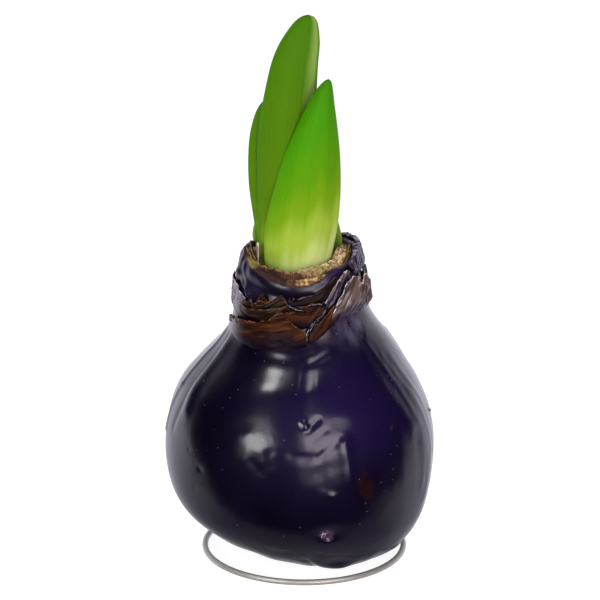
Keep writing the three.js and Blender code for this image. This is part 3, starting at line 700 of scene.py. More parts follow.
def wrap_scale(name, material, slot, node, seed, upper, lower, lift=0.5, curl=0.8, grain=8, crease=0.2,
               tear=0.7, pleats=0, pleat_depth=0.5, thickness=0.35, waxed_to=0.35, ramp=0.22, wave=0.4,
               folds=(), film=(0, 1, 0)):
    """A thin scale that follows the skin between an upper and a lower edge of (angle, height) points.

    `folds` are raised creases, as for the wax. The last argument places a whitish wax film, whose pale
    colour is a painted reflection: its middle angle, half width and strength.
    """
    start, stop = upper[0][0], upper[-1][0]
    scale, across, up = add_sheet(name, stop - start, columns_a_degree=2.4, rows=52)
    at = start + (stop - start) * across
    low, high = read_points(lower, at), read_points(upper, at)
    arc = np.radians(at - start) * NECK_RADIUS
    wobble = np.stack([arc, up * 5, np.full_like(arc, seed * 7.3)], axis=-1)
    edge = np.stack([arc, np.zeros_like(arc), np.full_like(arc, seed * 3.1)], axis=-1)
    high = high + tear * (0.6 * rough(edge, 2.9) + 0.35 * rough(edge, 1.1) + 0.2 * rough(edge, 0.45))
    low = low + 0.4 * rough(edge, 2.2, 5)
    height = low + (high - low) * up
    end_share = np.minimum(across, 1 - across)
    at = at + 2.2 * rough(wobble * np.array([0, 1, 1]), 1.6, 3) * (1 - smooth(end_share, 0, 0.1))
    turn = math.radians(grain)
    rise = (height - low) * 0.75 + (height - NECK_FOOT) * 0.25
    u = arc * math.cos(turn) + rise * math.sin(turn)
    v = rise * math.cos(turn) - arc * math.sin(turn)
    lines = 0.8 * ridges(u, v, 11, 2.0, seed) + 0.3 * ridges(u, v, 6, 0.8, seed + 4)
    body = smooth(up, 0, ramp)
    out = -0.9 + (0.9 + lift) * body + crease * lines * smooth(up, 0.05, ramp + 0.1)
    out = out + wave * rough(wobble, 4.5) * body
    free_middle = 0.25 + 0.75 * smooth(end_share, 0, 0.18)
    out = out + curl * up ** 2.2 * (0.75 + 1.1 * rough(edge, 6, 9)) * free_middle
    # Painted shade: the valleys between the wrinkles, and between the pleats further down, are darkened.
    valley = smooth(-lines, 0.1, 0.8)
    for line, width, depth in folds:
        out = out + depth * trail(line, at, height, width)
    if pleats:
        beat = v / ((stop - start) * 0.375 / pleats * abs(math.sin(turn))) + 0.6 * rough(wobble, 5, 2)
        gathered = 1 - 2 * np.abs(beat % 1 - 0.5)
        out = out + pleat_depth * gathered * smooth(up, 0.1, 0.5)
        valley = np.maximum(valley, (1 - smooth(gathered, 0.05, 0.35)) * smooth(up, 0.1, 0.4))
    reflection_middle, reflection_width, reflection_strength = film
    set_vertices(scale, skin_point(at, height, out))
    reach = (high - height) + 0.2 * rough(edge, 0.8, 8)
    waxed = 1 - smooth(up + 0.16 * rough(wobble, 3.2, 6), waxed_to - 0.15, waxed_to + 0.3)
    paint(scale, grain_u=u, grain_v=v, torn_edge=1 - smooth(reach, 0.05, 0.5), waxed=waxed, valley=valley,
          film=reflection_strength * np.exp(-(((at - reflection_middle) / reflection_width) ** 2)))
    thicken(scale, thickness, 1)
    finish_piece(scale, material, slot, node)


# Dried scale, which every papery piece shares: streaks along the grain, a pale torn edge, wax on its foot,
# painted shade in its valleys, and a pale painted reflection where a thin wax film lies on it.
paper_group, into, out = new_group(
    "torn_paper",
    {"Grain U": "Float", "Grain V": "Float", "Torn Edge": "Float", "Waxed": "Float", "Valley": "Float",
     "Film": "Float", "Dark": "Color", "Middle": "Color", "Light": "Color", "Pale Edge": "Color",
     "Wax": "Color", "Film Colour": "Color"},
    {"Color": "Color", "Streaks": "Float"})
tree = paper_group
along = add(tree, "CombineXYZ", into["Grain U"], into["Grain V"]).outputs[0]
broad = remap(tree, add_grain(tree, 1, 3, (0.10, 0.42, 1), along), 0.36, 0.66)
fine = remap(tree, add_grain(tree, 1, 2, (0.14, 1.7, 1), along), 0.54, 0.76)
torn = remap(tree, add_grain(tree, 1, 2, (0.5, 0.5, 1), along), 0.42, 0.6)
colour = layered(
    tree, mix(tree, broad, into["Dark"], into["Middle"]), (fine, into["Light"]),
    (remap(tree, into["Valley"], 0, 1, 0, 0.8), into["Dark"]), (into["Waxed"], into["Wax"]),
    (into["Film"], into["Film Colour"]),
    (calculate(tree, "MULTIPLY", into["Torn Edge"], torn), into["Pale Edge"]))
feed(colour, out["Color"])
feed(fine, out["Streaks"])


def paper_material(name, dark, middle, light, wax, gloss=0.24, wax_amount=1.0, shine=0.5, waxed_gloss=0.22):
    """Streaked leathery scale, glossier where the wax has soaked in."""
    material, tree = new_material(name, IOR=1.38, Specular_IOR_Level=shine)
    waxed = remap(tree, painted(tree, "waxed"), 0, 1, 0, wax_amount)
    pale_edge = [min(1, 1.4 * c + 0.01) for c in light]
    masks = ("grain_u", "grain_v", "torn_edge", "valley", "film")
    paper = place_group(
        tree, paper_group, Dark=dark, Middle=middle, Light=light, Pale_Edge=pale_edge, Wax=wax,
        Film_Colour=FILM_REFLECTION_COLOUR, Waxed=waxed, **{mask.title(): painted(tree, mask) for mask in masks})
    shade(tree, Base_Color=paper["Color"], Roughness=remap(tree, waxed, 0, 1, gloss + 0.1, waxed_gloss))
    add_bump(tree, paper["Streaks"], 0.00012, 0.6)
    return material


tunic_dark = paper_material(
    "tunic_dark", (0.005, 0.0022, 0.0012), (0.024, 0.0085, 0.0022), (0.072, 0.032, 0.0085),
    (0.0035, 0.002, 0.0035), gloss=0.26, shine=0.36, waxed_gloss=0.3)
tunic_brown = paper_material(
    "tunic_brown", (0.009, 0.0023, 0.0010), (0.048, 0.0112, 0.0018), (0.120, 0.040, 0.009),
    (0.0055, 0.0018, 0.0055), gloss=0.34, shine=0.10, waxed_gloss=0.4)
tunic_waxed = paper_material(
    "tunic_waxed", (0.030, 0.015, 0.012), (0.13, 0.088, 0.078), (0.44, 0.37, 0.38),
    (0.020, 0.014, 0.040), gloss=0.22, wax_amount=0.92)
tunic_soaked = paper_material(
    "tunic_soaked", (0.0035, 0.0018, 0.0022), (0.012, 0.0055, 0.0050), (0.036, 0.018, 0.013),
    (0.007, 0.0035, 0.010), gloss=0.34, shine=0.12, waxed_gloss=0.36)
rim_wax = paper_material(
    "rim_wax", (0.014, 0.009, 0.024), (0.048, 0.034, 0.072), (0.23, 0.19, 0.27),
    (0.020, 0.014, 0.038), gloss=0.2, wax_amount=0.75)
# The left flap's pale lilac streaks are partly painted highlights on its glossy wax folds.
flap_wax_highlights = paper_material(
    "flap_wax_highlights", (0.018, 0.011, 0.030), (0.070, 0.050, 0.098), (0.34, 0.29, 0.38),
    (0.030, 0.021, 0.052), wax_amount=0.75)

# The front lower scale: a painted reflection of a wax film lies on its left end.
wrap_scale(
    "scale_front_lower", tunic_brown, "tunic_brown", "tunic_front_lower", 1,
    [(-76, 84.2), (-66.5, 85.9), (-52, 87), (-38, 86.8), (-27.5, 88.4), (-22.4, 89.9), (-16.2, 92),
     (-9.5, 89.2), (-5.3, 87.7), (-1.5, 86.5), (3, 84.6)],
    [(-76, 79.4), (-65.8, 78.2), (-53.7, 77.3), (-40.8, 77.2), (-24.8, 77.4), (-10.5, 78), (3, 79.6)],
    lift=0.6, curl=1.3, grain=10, crease=0.16, tear=0.5, waxed_to=0.47, ramp=0.4, wave=0.1,
    film=(-76, 13, 0.9),
    folds=[([(-4.3, 87.7), (-10.5, 86.4), (-20.7, 85.1), (-31.4, 85.3), (-45, 86.1)], 0.45, 0.4),
           ([(-62.6, 84.9), (-43, 82.4), (-29, 81.6), (-18, 81.7)], 0.7, -0.35)])
wrap_scale(
    "scale_front_upper", tunic_dark, "tunic_dark", "tunic_front_upper", 2,
    [(-60, 91.6), (-56.7, 92.4), (-53.9, 93.3), (-47.6, 92.9), (-44.4, 94.1), (-41.2, 93.0), (-37.4, 93.9),
     (-33, 94.9), (-29.5, 94.4), (-25.9, 95.1), (-22.4, 95.4), (-18.8, 96.1), (-15.9, 97), (-13, 96.2),
     (-10.6, 94.5), (-8.6, 93.6)],
    [(-60, 88.2), (-49.1, 87), (-39.4, 87.2), (-27.8, 88.2), (-17.4, 90.4), (-8.6, 92)],
    curl=1.3, crease=0.42, tear=0.8, waxed_to=0.0, wave=0.25,
    folds=[([(-42, 92.2), (-28, 93), (-15, 96)], 0.4, 0.45)])
# Its foot reaches down behind the front lower scale's top, and its dark waxed foot there is painted shade.
wrap_scale(
    "scale_front_fold", tunic_dark, "tunic_dark", "tunic_front_upper", 12,
    [(-58, 90.6), (-55, 91.2), (-44.3, 91.1), (-35.4, 91.5), (-25.5, 92.2), (-17.5, 93), (-10.5, 93.8)],
    [(-58, 86), (-46.9, 85.2), (-34, 85.8), (-26, 86.6), (-21, 88), (-14.6, 89.6), (-10.5, 91)],
    lift=1.2, grain=5, crease=0.25, tear=0.35, waxed_to=0.4, ramp=0.7, wave=0.25)
wrap_scale(
    "scale_front_soaked", tunic_soaked, "tunic_dark", "tunic_front_middle", 14,
    [(-8, 94.6), (-3, 95.6), (1, 96.3), (8, 96.8), (16, 97.6), (22, 98.8), (28, 100.2), (34, 101.6),
     (40, 102)],
    [(-8, 92.8), (1, 93), (12, 93), (24, 93.6), (34, 95.4), (40, 98)],
    lift=0.35, curl=0.25, grain=20, crease=0.22, tear=0.35, waxed_to=0.3, ramp=0.4, wave=0.2)
wrap_scale(
    "scale_front_middle", tunic_brown, "tunic_dark", "tunic_front_middle", 3,
    [(-13.5, 91.6), (-9, 91.2), (-5.6, 92), (0.5, 93.0), (6.6, 93.9), (14, 94.6), (19.6, 94.3), (23, 92.6)],
    [(-13.5, 89), (-9, 87.4), (-5.4, 86.4), (0.7, 85.6), (6, 85.4), (10.8, 86.6), (17.2, 88.8), (23, 91)],
    lift=0.6, curl=0.5, grain=14, tear=0.5, waxed_to=0.25)
wrap_scale(
    "scale_front_right", tunic_brown, "tunic_brown", "tunic_front_right", 4,
    [(5, 84.6), (11, 86.2), (16.9, 88.2), (24, 91), (30, 92.8), (35, 93.4)],
    [(5, 81.2), (11.5, 81.8), (19.9, 83.6), (28, 85.8), (35, 87.4)],
    lift=0.6, curl=0.5, grain=36, tear=0.35, waxed_to=0.3, ramp=0.4, wave=0.2)
wrap_scale(
    "scale_right_under", tunic_waxed, "tunic_waxed", "tunic_right", 13,
    [(21, 92.6), (24, 94.8), (28, 96.8), (32, 98.8), (37, 100.4), (41, 101.4), (45, 102.2), (50, 103),
     (56, 102)],
    [(21, 90.8), (30, 92), (40, 95), (56, 97)],
    lift=0.15, curl=0.45, grain=48, crease=0.35, tear=0.4, waxed_to=0.75, wave=0.2)
wrap_scale(
    "scale_right_pleated", tunic_waxed, "tunic_waxed", "tunic_right", 5,
    [(27, 91), (30, 93.4), (33, 95.4), (38, 98), (42.6, 100), (47, 101.1), (52, 101.3), (57, 100.8),
     (59.4, 99.9), (60.8, 98), (63, 97.6), (67.3, 98.8), (72, 99.6), (75, 99.5), (78, 98.2), (84, 96.6),
     (91, 95.4)],
    [(27, 87.6), (36, 86.6), (45.6, 86), (59.3, 85.8), (78.3, 85.6), (91, 85)],
    lift=1.0, curl=1.2, grain=52, crease=0.24, pleats=9, pleat_depth=1.0, waxed_to=0.3, ramp=0.5, wave=0.2)
wrap_scale(
    "scale_back_lower", tunic_brown, "tunic_brown", "tunic_back_lower", 7,
    [(124, 81), (130, 84), (137, 86.2), (146, 86.8), (155, 85.2), (163, 87), (174, 86.4), (184, 87.2),
     (193, 84.4), (200, 85.2), (206, 81)],
    [(124, 79), (135, 77.4), (148, 78.6), (160, 76.8), (172, 78.2), (184, 77), (196, 78.6), (206, 79.6)],
    curl=0.9, crease=0.25, tear=0.6, waxed_to=0.45, ramp=0.4)
wrap_scale(
    "scale_back_right", tunic_dark, "tunic_dark", "tunic_back_right", 8,
    [(92, 94.2), (98, 96.2), (104, 99), (109, 98.2), (113, 95), (118, 96), (125, 99.8), (133, 99),
     (137, 95.6), (142, 97.4), (150, 100.2), (156, 99), (162, 95.4), (168, 96.6)],
    [(92, 85.2), (103, 83.4), (115, 85.2), (128, 83), (141, 84.8), (155, 83.2), (168, 85)],
    curl=1.1, grain=62, crease=0.3, tear=0.9, pleats=5, waxed_to=0.45, ramp=0.4)
wrap_scale(
    "scale_back_left", tunic_brown, "tunic_brown", "tunic_back_left", 9,
    [(159, 95), (164, 97.8), (169, 98.8), (174, 97), (178, 93.8), (184, 95.6), (190, 98.4), (198, 98.8),
     (203, 96.2), (209, 97), (214, 94.2), (221, 95.8), (228, 94.8), (233, 92.4)],
    [(159, 84.6), (170, 82.8), (181, 85), (194, 83.2), (208, 84.8), (221, 83.4), (233, 85.4)],
    lift=1.5, curl=0.9, grain=116, crease=0.3, tear=0.9, pleats=5, waxed_to=0.45, ramp=0.4)
wrap_scale(
    "rim_flap", rim_wax, "tunic_waxed", "rim_flap_right", 10,
    [(56, 104.4), (64, 106), (71, 107.4), (82, 108.6), (93, 108), (103, 108.8), (114, 108.2), (125, 108.2),
     (135, 106.6), (146, 105)],
    [(56, 101), (90, 99.6), (120, 99.4), (146, 99.6)],
    lift=0.4, curl=-0.9, grain=82, crease=0.45, tear=0.45, thickness=1.3, waxed_to=2.0, wave=0.7)
# The left scale: painted highlights in its pale streaks, and a painted reflection on its wax film.
wrap_scale(
    "scale_left", flap_wax_highlights, "tunic_waxed", "tunic_left", 6,
    [(-137, 93.2), (-131, 95.6), (-126, 94.4), (-118, 96.8), (-112, 96.4), (-108, 93.2), (-103, 94.8),
     (-96, 98), (-90, 97.6), (-86, 95.8), (-80, 96.9), (-72, 96.5), (-66, 95.4), (-60, 93.8), (-54, 92.4)],
    [(-137, 84.2), (-124, 82.4), (-112, 84.8), (-100, 82.8), (-86, 84.6), (-70, 84.4), (-62, 86), (-54, 89)],
    lift=0.3, curl=0.7, grain=66, crease=0.3, tear=0.6, pleats=6, pleat_depth=0.6, ramp=0.3, waxed_to=0.8,
    film=(-70, 12, 0.5),
    folds=[([(-84, 95.5), (-72, 92.6), (-62, 91)], 0.5, -0.6),
           ([(-80, 91), (-70, 88.4), (-63, 87.6)], 0.6, 0.5)])

# Small torn tips of older scales that still stick to the wax, dark and curled: name, node, ends, heights
# along the top, foot, curl.
TORN_TIPS = [
    ("torn_tip_left_high", "tunic_left", (-99, -84), (94.6, 97.0, 95.4), 91.5, 0.6),
    ("torn_tip_left_low", "tunic_left", (-78, -59), (84.6, 86.4, 85.8), 82.6, 0.7),
    ("torn_tip_front", "tunic_front_upper", (-39, -29), (94.0, 97.0, 94.2), 91.5, 0.6),
    ("torn_tip_right_high", "tunic_right", (72, 88), (98.6, 101.2, 99.4), 95, 0.9),
    ("torn_tip_right_low", "tunic_right", (76, 90), (92.6, 94.8, 93), 89.5, 0.7),
    ("torn_tip_back", "tunic_back_left", (204, 222), (97.4, 100.6, 98), 93, 1.2),
]
for i, (tip_name, node, (start, stop), levels, foot, curl) in enumerate(TORN_TIPS):
    material, slot = tunic_dark, "tunic_dark"
    if tip_name == "torn_tip_front":
        material, slot = tunic_brown, "tunic_brown"
    upper = list(zip((start, (start + stop) / 2, stop), levels))
    wrap_scale(tip_name, material, slot, node, 20 + i, upper, [(start, foot), (stop, foot + 0.6)],
               lift=0.9, curl=curl, grain=30, tear=1.1)

# Wax that ran down between the scales and set there, black and wet-looking: points of angle, height,
# distance off the skin, and radius.
WAX_RUNS = {
    "wax_run_long": [
        (24.8, 93.4, 0.8, 0.3), (21.8, 91.8, 0.9, 0.75), (18.3, 90, 1.0, 0.5), (14, 88.8, 1.0, 0.95),
        (10.8, 87.8, 0.9, 0.7), (7, 86, 0.8, 1.05), (3.9, 84.2, 0.5, 0.9), (2.6, 82.4, 0.2, 0.6)],
    "wax_run_middle": [
        (-11, 93.8, 1.2, 0.4), (-8, 93.3, 1.3, 0.8), (-5, 92.9, 1.2, 0.55), (-1.7, 92.4, 1.3, 0.9),
        (2, 92.2, 1.2, 0.6), (4.6, 91.6, 1.1, 0.4)],
    "wax_run_right": [
        (6.5, 93.6, 1.2, 0.4), (10, 94.0, 1.3, 0.75), (14, 94.1, 1.4, 0.6), (18, 93.9, 1.4, 0.9),
        (22.5, 93.2, 1.2, 0.5)],
    "wax_run_top": [(-9, 95.9, 0.5, 0.4), (-5, 95.6, 0.7, 0.8), (0, 95.9, 0.7, 0.7), (5, 96.4, 0.5, 0.4)],
}
drip_wax, tree = new_material("drip_wax", Base_Color=(0.004, 0.002, 0.006), Roughness=0.1, IOR=1.48)
for run_name, places in WAX_RUNS.items():
    run, run_line = new_tube(run_name, "BEZIER", 1, 4)
    run_line.bezier_points.add(len(places) - 1)
    for knot, (at, level, stand, radius) in zip(run_line.bezier_points, places):
        knot.co = spot(*skin_point(np.array(at), np.array(float(level)), stand))
        knot.handle_left_type = knot.handle_right_type = "AUTO"
        knot.radius = radius
    finish_piece(run, drip_wax, "tunic_dark", "tunic_front_middle")

# ---------------------------------------------------------------- cut ends of the inner scales
# The neck was cut off at a slant, so the ends of the fleshy scales lie open inside the wax. They have
# dried to a brown, crumbly ring with a little green left in it.

CUT_OUTER = 17.0
STEM_FOOT = 84.3
CUT_HOLE = np.array([                                           # round the leaves, every 22.5 degrees
    10.9, 11.2, 11.6, 11.9, 12.2, 15.6, 16, 15.4, 14.6, 15.4, 16, 16, 15.9, 15.2, 13.6, 12.0,
])
TOP_START, TOP_STOP, TOP_SPAN = 0.04, 0.46, 0.42                # the part of the way round that is its top

cut_ring = add_piece("cut_ring", bpy.ops.mesh.primitive_torus_add, major_segments=420, minor_segments=64,
                     major_radius=1, minor_radius=0.25)
tube = vertex_places(cut_ring)
cut_angle = angle_of(tube)
tube_turn = np.arctan2(tube[:, 2], np.hypot(tube[:, 0], tube[:, 1]) - 1)
place = (tube_turn / (2 * np.pi)) % 1                           # 0 outside, through the top, to 0.5 inside
hole = read_round(CUT_HOLE, cut_angle)
top_share = np.clip((place - TOP_START) / TOP_SPAN, 0, 1)
radius = CUT_OUTER + (hole - CUT_OUTER) * np.where(place < 0.5, top_share, 1)
radius = np.where(place > 0.75, CUT_OUTER, radius)
right_rise = 1.8 * sector(cut_angle, 72, 34)                    # the ends stand up towards the leaves there
left_drop = 1.4 * sector(cut_angle, -48, 26)
front_rise = 2.0 * sector(cut_angle, 6, 24, 4)
top_height = rim_height(cut_angle) - 0.3 - left_drop + front_rise - (0.8 - right_rise) * top_share
ground = round_point(cut_angle, radius, top_height)
scale_ends = np.sin(2 * np.pi * (CUT_OUTER - radius) / 1.35 + 2.2 * rough(ground, 4, 1))
crests = 1 - 2.6 * np.abs(rough(ground, 2.2, 3))                # dried tissue stands up in curly crests
fine_crests = 1 - 2.6 * np.abs(rough(ground, 1.0, 6))
crumbs = 0.85 * crests + 0.4 * fine_crests + 0.12 * scale_ends - 0.4
crumbs = crumbs * smooth(np.minimum(place - TOP_START, TOP_STOP - place), 0, 0.05)
wall_share = np.clip((place - 0.5) / 0.2, 0, 1)
wall_height = np.where(place < 0.7, top_height + (STEM_FOOT - top_height) * wall_share, STEM_FOOT)
ground[:, 2] = np.where(place < 0.5, top_height + crumbs, wall_height)
set_vertices(cut_ring, ground)
# At the front left, by the front leaf's foot, the ring is dark brown: partly bark brown, partly painted
# shade.
paint(cut_ring, crumb=crumbs, browned=sector(cut_angle, -44, 34, 4) * smooth(rough(ground, 3, 19), -0.6, 0.1))

cut_tissue, tree = new_material("cut_tissue", Roughness=0.75)
crumb_value = painted(tree, "crumb")
grit = add_grain(tree, 900)
# Painted shade: the flesh is darker down in the hollows between the crests, and pale cream on the crest tops.
flesh = mix(tree, remap(tree, crumb_value, -0.5, 0.45), (0.045, 0.017, 0.006), (0.42, 0.27, 0.115))
shade(tree, Base_Color=layered(
    tree, flesh, (remap(tree, crumb_value, 0.35, 0.75), (0.68, 0.58, 0.34)),
    (remap(tree, add_grain(tree, 190, 2), 0.55, 0.66), (0.34, 0.30, 0.07)),
    (remap(tree, grit, 0.24, 0.36, 1, 0), (0.05, 0.018, 0.007)), ("browned", (0.075, 0.030, 0.012))))
add_bump(tree, grit, 0.0006)
finish_piece(cut_ring, cut_tissue, "cut_tissue", "cut_scales")

# ---------------------------------------------------------------- thin inner scales at the rim
# Between the wax and the leaves stand the thin ends of a few inner scales. One at the left is pale and
# dry, and the others show as narrow brown and yellow-green edges.


def ring_sheet(name, seed, radius, upper, lower, thickness, tear, narrowing=0.0):
    """A thin upright sheet round the neck's middle, with a torn top of (angle, height) points."""
    start, stop = upper[0][0], upper[-1][0]
    sheet, across, up = add_sheet(name, stop - start, columns_a_degree=2, rows=36)
    at = start + (stop - start) * across
    arc = np.radians(at) * radius
    edge = np.stack([arc, np.zeros_like(arc), np.full_like(arc, seed * 5.7)], axis=-1)
    high = read_points(upper, at) + tear * (0.8 * rough(edge, 1.9) + 0.4 * rough(edge, 0.6))
    height = lower + (high - lower) * up
    body = np.stack([arc, height, np.full_like(arc, seed)], axis=-1)
    r = radius - narrowing * smooth(across, 0.3, 1) + 0.35 * rough(body * np.array([1, 0.3, 1]), 2.6) * up
    set_vertices(sheet, round_point(at, r, height))
    none = np.zeros_like(up)
    torn_edge = 1 - smooth(high - height, 0.1, 0.9)
    paint(sheet, grain_u=height, grain_v=arc, torn_edge=torn_edge, waxed=none, valley=none, film=none)
    thicken(sheet, thickness, -1)
    return sheet


# The brown sheets are yellow-green at one place: radius, foot, angle of the green, top.
BARK_SHEETS = {
    "inner_scale_front": (17.7, 99, -60, [
        (-84, 107.2), (-62, 105.2), (-45, 104.5), (-25, 104.2), (-8, 103.5), (4, 103.1), (12, 101.4)]),
    "inner_scale_behind": (16.4, 96, 200, [
        (-112, 107), (-98, 108.3), (-84, 107.8), (-72, 106), (-58, 103.6)]),
    "inner_scale_right": (16.7, 98, 76, [
        (58, 103.8), (68, 106), (84, 107.6), (98, 107.2), (112, 105.4)]),
}
bark_scale = paper_material(
    "bark_scale", (0.014, 0.0045, 0.002), (0.070, 0.021, 0.005), (0.17, 0.085, 0.024),
    (0.21, 0.185, 0.045), gloss=0.5)
for i, (sheet_name, (radius, lower, green_at, upper)) in enumerate(BARK_SHEETS.items()):
    sheet = ring_sheet(sheet_name, 3 + i, radius, upper, lower, 0.4, 0.6)
    sheet_angle = angle_of(vertex_places(sheet) / MM - np.array(MIDDLE) / MM, NECK_X)
    paint(sheet, waxed=0.9 * sector(sheet_angle, green_at, 9, 4))
    finish_piece(sheet, bark_scale, "inner_scale", "inner_scale_left")

pale_scale = paper_material(
    "pale_scale", (0.16, 0.135, 0.07), (0.33, 0.285, 0.18), (0.47, 0.41, 0.34),
    (0.3, 0.2, 0.2), gloss=0.55, wax_amount=0)
PALE_TOP = [(-106, 105), (-98, 106), (-90, 105.8), (-84, 106.6), (-79, 108.6), (-74.5, 109.8), (-71, 107.4)]
inner_left = ring_sheet("inner_scale_pale", 2, 15.4, PALE_TOP, STEM_FOOT, 0.45, 0.4, 0.8)
finish_piece(inner_left, pale_scale, "inner_scale", "inner_scale_left")

# ---------------------------------------------------------------- leaves
# Four flat straps of living leaf push up out of the middle. They are white-green where they leave the
# bulb and full green above, with fine veins that run their whole length.

LEAF_THICKNESS = 2.2
LEAF_RINGS = 170
LEAF_DRIFT = 16.0                                               # how far up the leaf a colour wanders


def along_points(points, share):
    """Smooth reading of a line of points, from 0 at the first to 1 at the last."""
    points = np.array(points)
    last = len(points) - 1
    place = np.clip(share, 0, 1) * last
    i = np.minimum(np.floor(place).astype(int), last - 1)
    t = (place - i)[:, None]
    p0, p1, p2, p3 = points[np.maximum(i - 1, 0)], points[i], points[i + 1], points[np.minimum(i + 2, last)]
    return p1 + t / 2 * (p2 - p0 + t * (2 * p0 - 5 * p1 + 4 * p2 - p3 + t * (3 * p1 - p0 - 3 * p2 + p3)))


def make_leaf(name, bulge, places):
    """A strap between its two edges, whose middle stands `bulge` millimetres forward up the leaf."""
    leaf = add_piece(name, bpy.ops.mesh.primitive_uv_sphere_add, segments=96, ring_count=LEAF_RINGS, radius=1)
    ball = vertex_places(leaf)
    up = 1 - np.arccos(np.clip(ball[:, 2], -1, 1)) / np.pi
    up = np.clip((up - 1 / LEAF_RINGS) / (1 - 1 / LEAF_RINGS), 0, 1)
    turn = np.arctan2(ball[:, 1], ball[:, 0])
    is_foot = ball[:, 2] < -0.99999
    across = np.where(is_foot, 0, np.sign(np.cos(turn)) * np.abs(np.cos(turn)) ** 0.6)
    half = np.where(is_foot, 0, LEAF_THICKNESS / 2 * np.sqrt(1 - up ** 4) * -np.sin(turn))
    left = along_points([(place[0], place[2], place[3]) for place in places], up)
    right = along_points([(place[1], place[2], place[-1]) for place in places], up)
    middle = left + (right - left) * ((1 + across) / 2)[:, None]
    bow = np.interp(up, np.linspace(0, 1, len(bulge)), bulge) * (1 - up ** 6) * (1 - across ** 2)
    width = np.linalg.norm(right - left, axis=1)
    veins = np.cos(across * 34) * 0.05 * smooth(width, 3, 12)
    middle[:, 1] -= bow + half * (1 + veins)
    set_vertices(leaf, middle)
    paint(leaf, leaf_up=middle[:, 2], leaf_across=across)
    return leaf


# Leaf flesh, which all four leaves share: fine veins, drifts of colour, the margin, a paler band that is a
# painted highlight along the right margin, and painted light and shade that shifts the colours across the
# leaf.
leaf_group, into, out = new_group(
    "leaf_flesh", {"Up": "Float", "Across": "Float", "Pale Side": "Float"},
    {"Veins": "Float", "Drift": "Float", "Margin": "Float", "Highlight Band": "Float"})
tree = leaf_group
strands = add(tree, "CombineXYZ", into["Across"], into["Up"]).outputs[0]
wander = add_grain(tree, 1, 2, (3, 0.012, 1), strands)
drift = calculate(tree, "MULTIPLY_ADD", wander, LEAF_DRIFT, into["Up"])
painted_light_shift = calculate(tree, "MULTIPLY", into["Across"], into["Pale Side"])
feed(calculate(tree, "SUBTRACT", drift, painted_light_shift), out["Drift"])
feed(add_grain(tree, 1, 2, (26, 0.01, 1), strands), out["Veins"])
feed(remap(tree, calculate(tree, "ABSOLUTE", into["Across"]), 0.86, 0.99, 0, 0.8), out["Margin"])
highlight_start = remap(tree, into["Across"], 0.45, 0.8)
highlight_stop = remap(tree, into["Across"], 0.86, 0.97, 1, 0)
feed(calculate(tree, "MULTIPLY", highlight_start, highlight_stop), out["Highlight Band"])


def leaf_material(name, colours, margin=None, highlight_band=None, painted_light_side=0.0):
    """Green strap with lengthways veins: colours are (height in mm, colour) up the leaf.

    The last argument paints light and shade across the leaf: the pale foot colour reaches that many
    millimetres further up the right edge than up the middle, and as much less far up the left edge.
    """
    material, tree = new_material(
        name, Roughness=0.45, IOR=1.33, Specular_IOR_Level=0.1, Subsurface_Weight=0.12,
        Subsurface_Radius=(0.4, 1.0, 0.15), Subsurface_Scale=0.0015)
    up, across = painted(tree, "leaf_up"), painted(tree, "leaf_across")
    flesh = place_group(tree, leaf_group, Up=up, Across=across, Pale_Side=painted_light_side)
    low, high = colours[0][0], colours[-1][0]
    mean_drift = LEAF_DRIFT / 2
    ramp = add(tree, "ValToRGB", remap(tree, flesh["Drift"], low + mean_drift, high + mean_drift))
    ramp.color_ramp.interpolation = "EASE"
    for i, (level, colour) in enumerate(colours):
        stop = ramp.color_ramp.elements[i] if i < 2 else ramp.color_ramp.elements.new(1)
        stop.position = (level - low) / (high - low)
        stop.color = (*colour, 1)
    vein_share = remap(tree, flesh["Veins"], 0.4, 0.7, 0, 0.14)
    colour = mix(tree, vein_share, ramp.outputs[0], [min(1, 1.5 * c) for c in colours[-2][1]])
    if margin:
        colour = mix(tree, flesh["Margin"], colour, margin)
    if highlight_band:
        colour = mix(tree, flesh["Highlight Band"], colour, highlight_band)
    shade(tree, Base_Color=colour)
    add_bump(tree, flesh["Veins"], 0.0003, 0.5)
    return material


# The front leaf's colours shift across it, as painted light on its right side and painted shade on its left.
pale_leaf = leaf_material("pale_leaf", [
    (100, (0.49, 0.58, 0.20)), (112, (0.265, 0.37, 0.034)), (124, (0.125, 0.25, 0.003)),
    (134, (0.074, 0.225, 0.0005)), (150, (0.044, 0.215, 0.0005)), (166, (0.038, 0.185, 0.0005)),
], painted_light_side=7)
# The last colour is a painted highlight band along the right margin.
green_leaf = leaf_material("green_leaf", [
    (98, (0.42, 0.52, 0.15)), (104, (0.29, 0.40, 0.05)), (111, (0.16, 0.265, 0.008)),
    (118, (0.09, 0.17, 0.002)), (126, (0.064, 0.150, 0.0005)), (150, (0.054, 0.145, 0.0005)),
    (186, (0.040, 0.138, 0.0005)),
], (0.040, 0.17, 0.001), (0.20, 0.31, 0.06))
# Paler than the green leaves above the foot, as painted light on a shaded leaf; its band is a painted
# highlight.
back_leaf_painted_light = leaf_material("back_leaf_painted_light", [
    (94, (0.36, 0.50, 0.12)), (104, (0.25, 0.42, 0.05)), (114, (0.12, 0.27, 0.01)),
    (130, (0.07, 0.19, 0.001)),
], (0.22, 0.36, 0.05), (0.15, 0.29, 0.03))

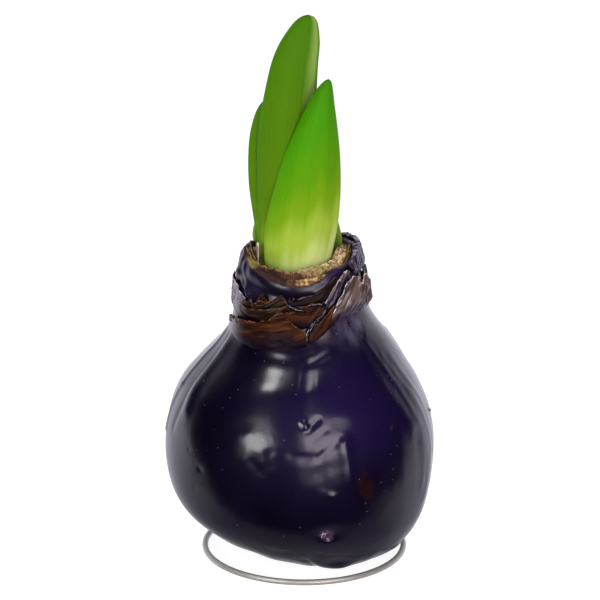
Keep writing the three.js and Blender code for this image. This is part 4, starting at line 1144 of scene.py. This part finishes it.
# Piece, material, slot, and how far the middle stands out to the front up the leaf. Then the left edge's
# x and the right edge's x, their y and their z up the leaf, with the right edge's own z where it differs.
LEAVES = {
    "leaf_front": ("strap_front", pale_leaf, "leaf_pale", [5, 5.4, 1.2], [
        (-9.5, 5.5, -4.5, 84.3), (-12.4, 7.6, -4, 95), (-13.2, 8.8, -4, 104), (-13.2, 10.3, -4.1, 111.6),
        (-12.2, 11.3, -4.4, 118.7), (-9.9, 11.9, -4.9, 128.3), (-6.9, 11.7, -5.4, 139),
        (-3, 10.9, -5.8, 148.5), (1.2, 9.8, -6.2, 157.5), (4.2, 9.2, -6.4, 162.8),
        (6.5, 8.7, -6.5, 165.3, 165), (7.9, 7.9, -6.5, 165.9)]),
    "leaf_tall": ("strap_tall", green_leaf, "leaf_green", [5.4, 4.6, 1.6], [
        (-12.5, 6.5, 0.5, 84.3), (-15.1, 7.6, 0.5, 95), (-15.5, 7.4, 0.8, 104), (-15.1, 6, 1.2, 115),
        (-15.5, 4.2, 1, 129.6), (-15.3, 3.7, 0.8, 141), (-14.4, 3.8, 0.6, 151.5), (-12.6, 4.1, 0.4, 161.5),
        (-10.7, 4.5, 0.3, 169.6), (-8.2, 5, 0.2, 175.9), (-4.3, 4.5, 0.1, 182), (-1.4, 3.3, 0, 184.8, 184.7),
        (1.2, 1.2, 0, 185.7)]),
    "leaf_left": ("strap_left", green_leaf, "leaf_green", [2.8, 2.8, 1], [
        (-11.5, 3, 4.6, 84.3), (-13.5, 4, 4.5, 95), (-14.8, 4, 4.5, 103), (-15.9, 3.4, 4.6, 109.5),
        (-17.2, 2.2, 4.7, 118), (-18.3, 0.3, 4.8, 127), (-18.5, -2, 4.8, 136), (-17.9, -4.6, 4.9, 144),
        (-16.3, -6.8, 4.9, 150.6), (-14.2, -8.4, 5, 154.6), (-10.8, -10.8, 5, 157.1)]),
    "leaf_back": ("strap_back", back_leaf_painted_light, "leaf_green", [-4.6, -4.4, -1], [
        (-11.5, 9, 6.8, 84.3), (-13.8, 11.6, 6.2, 95), (-15.2, 12.5, 6, 103), (-17.2, 12.4, 6.4, 108.5),
        (-16, 10.8, 7.2, 114.5), (-12.6, 7.4, 8, 121), (-7, 3, 9, 127), (-1.5, -1.5, 9.6, 130)]),
}
for node, (strap_name, material, slot, bulge, places) in LEAVES.items():
    finish_piece(make_leaf(strap_name, bulge, places), material, slot, node)
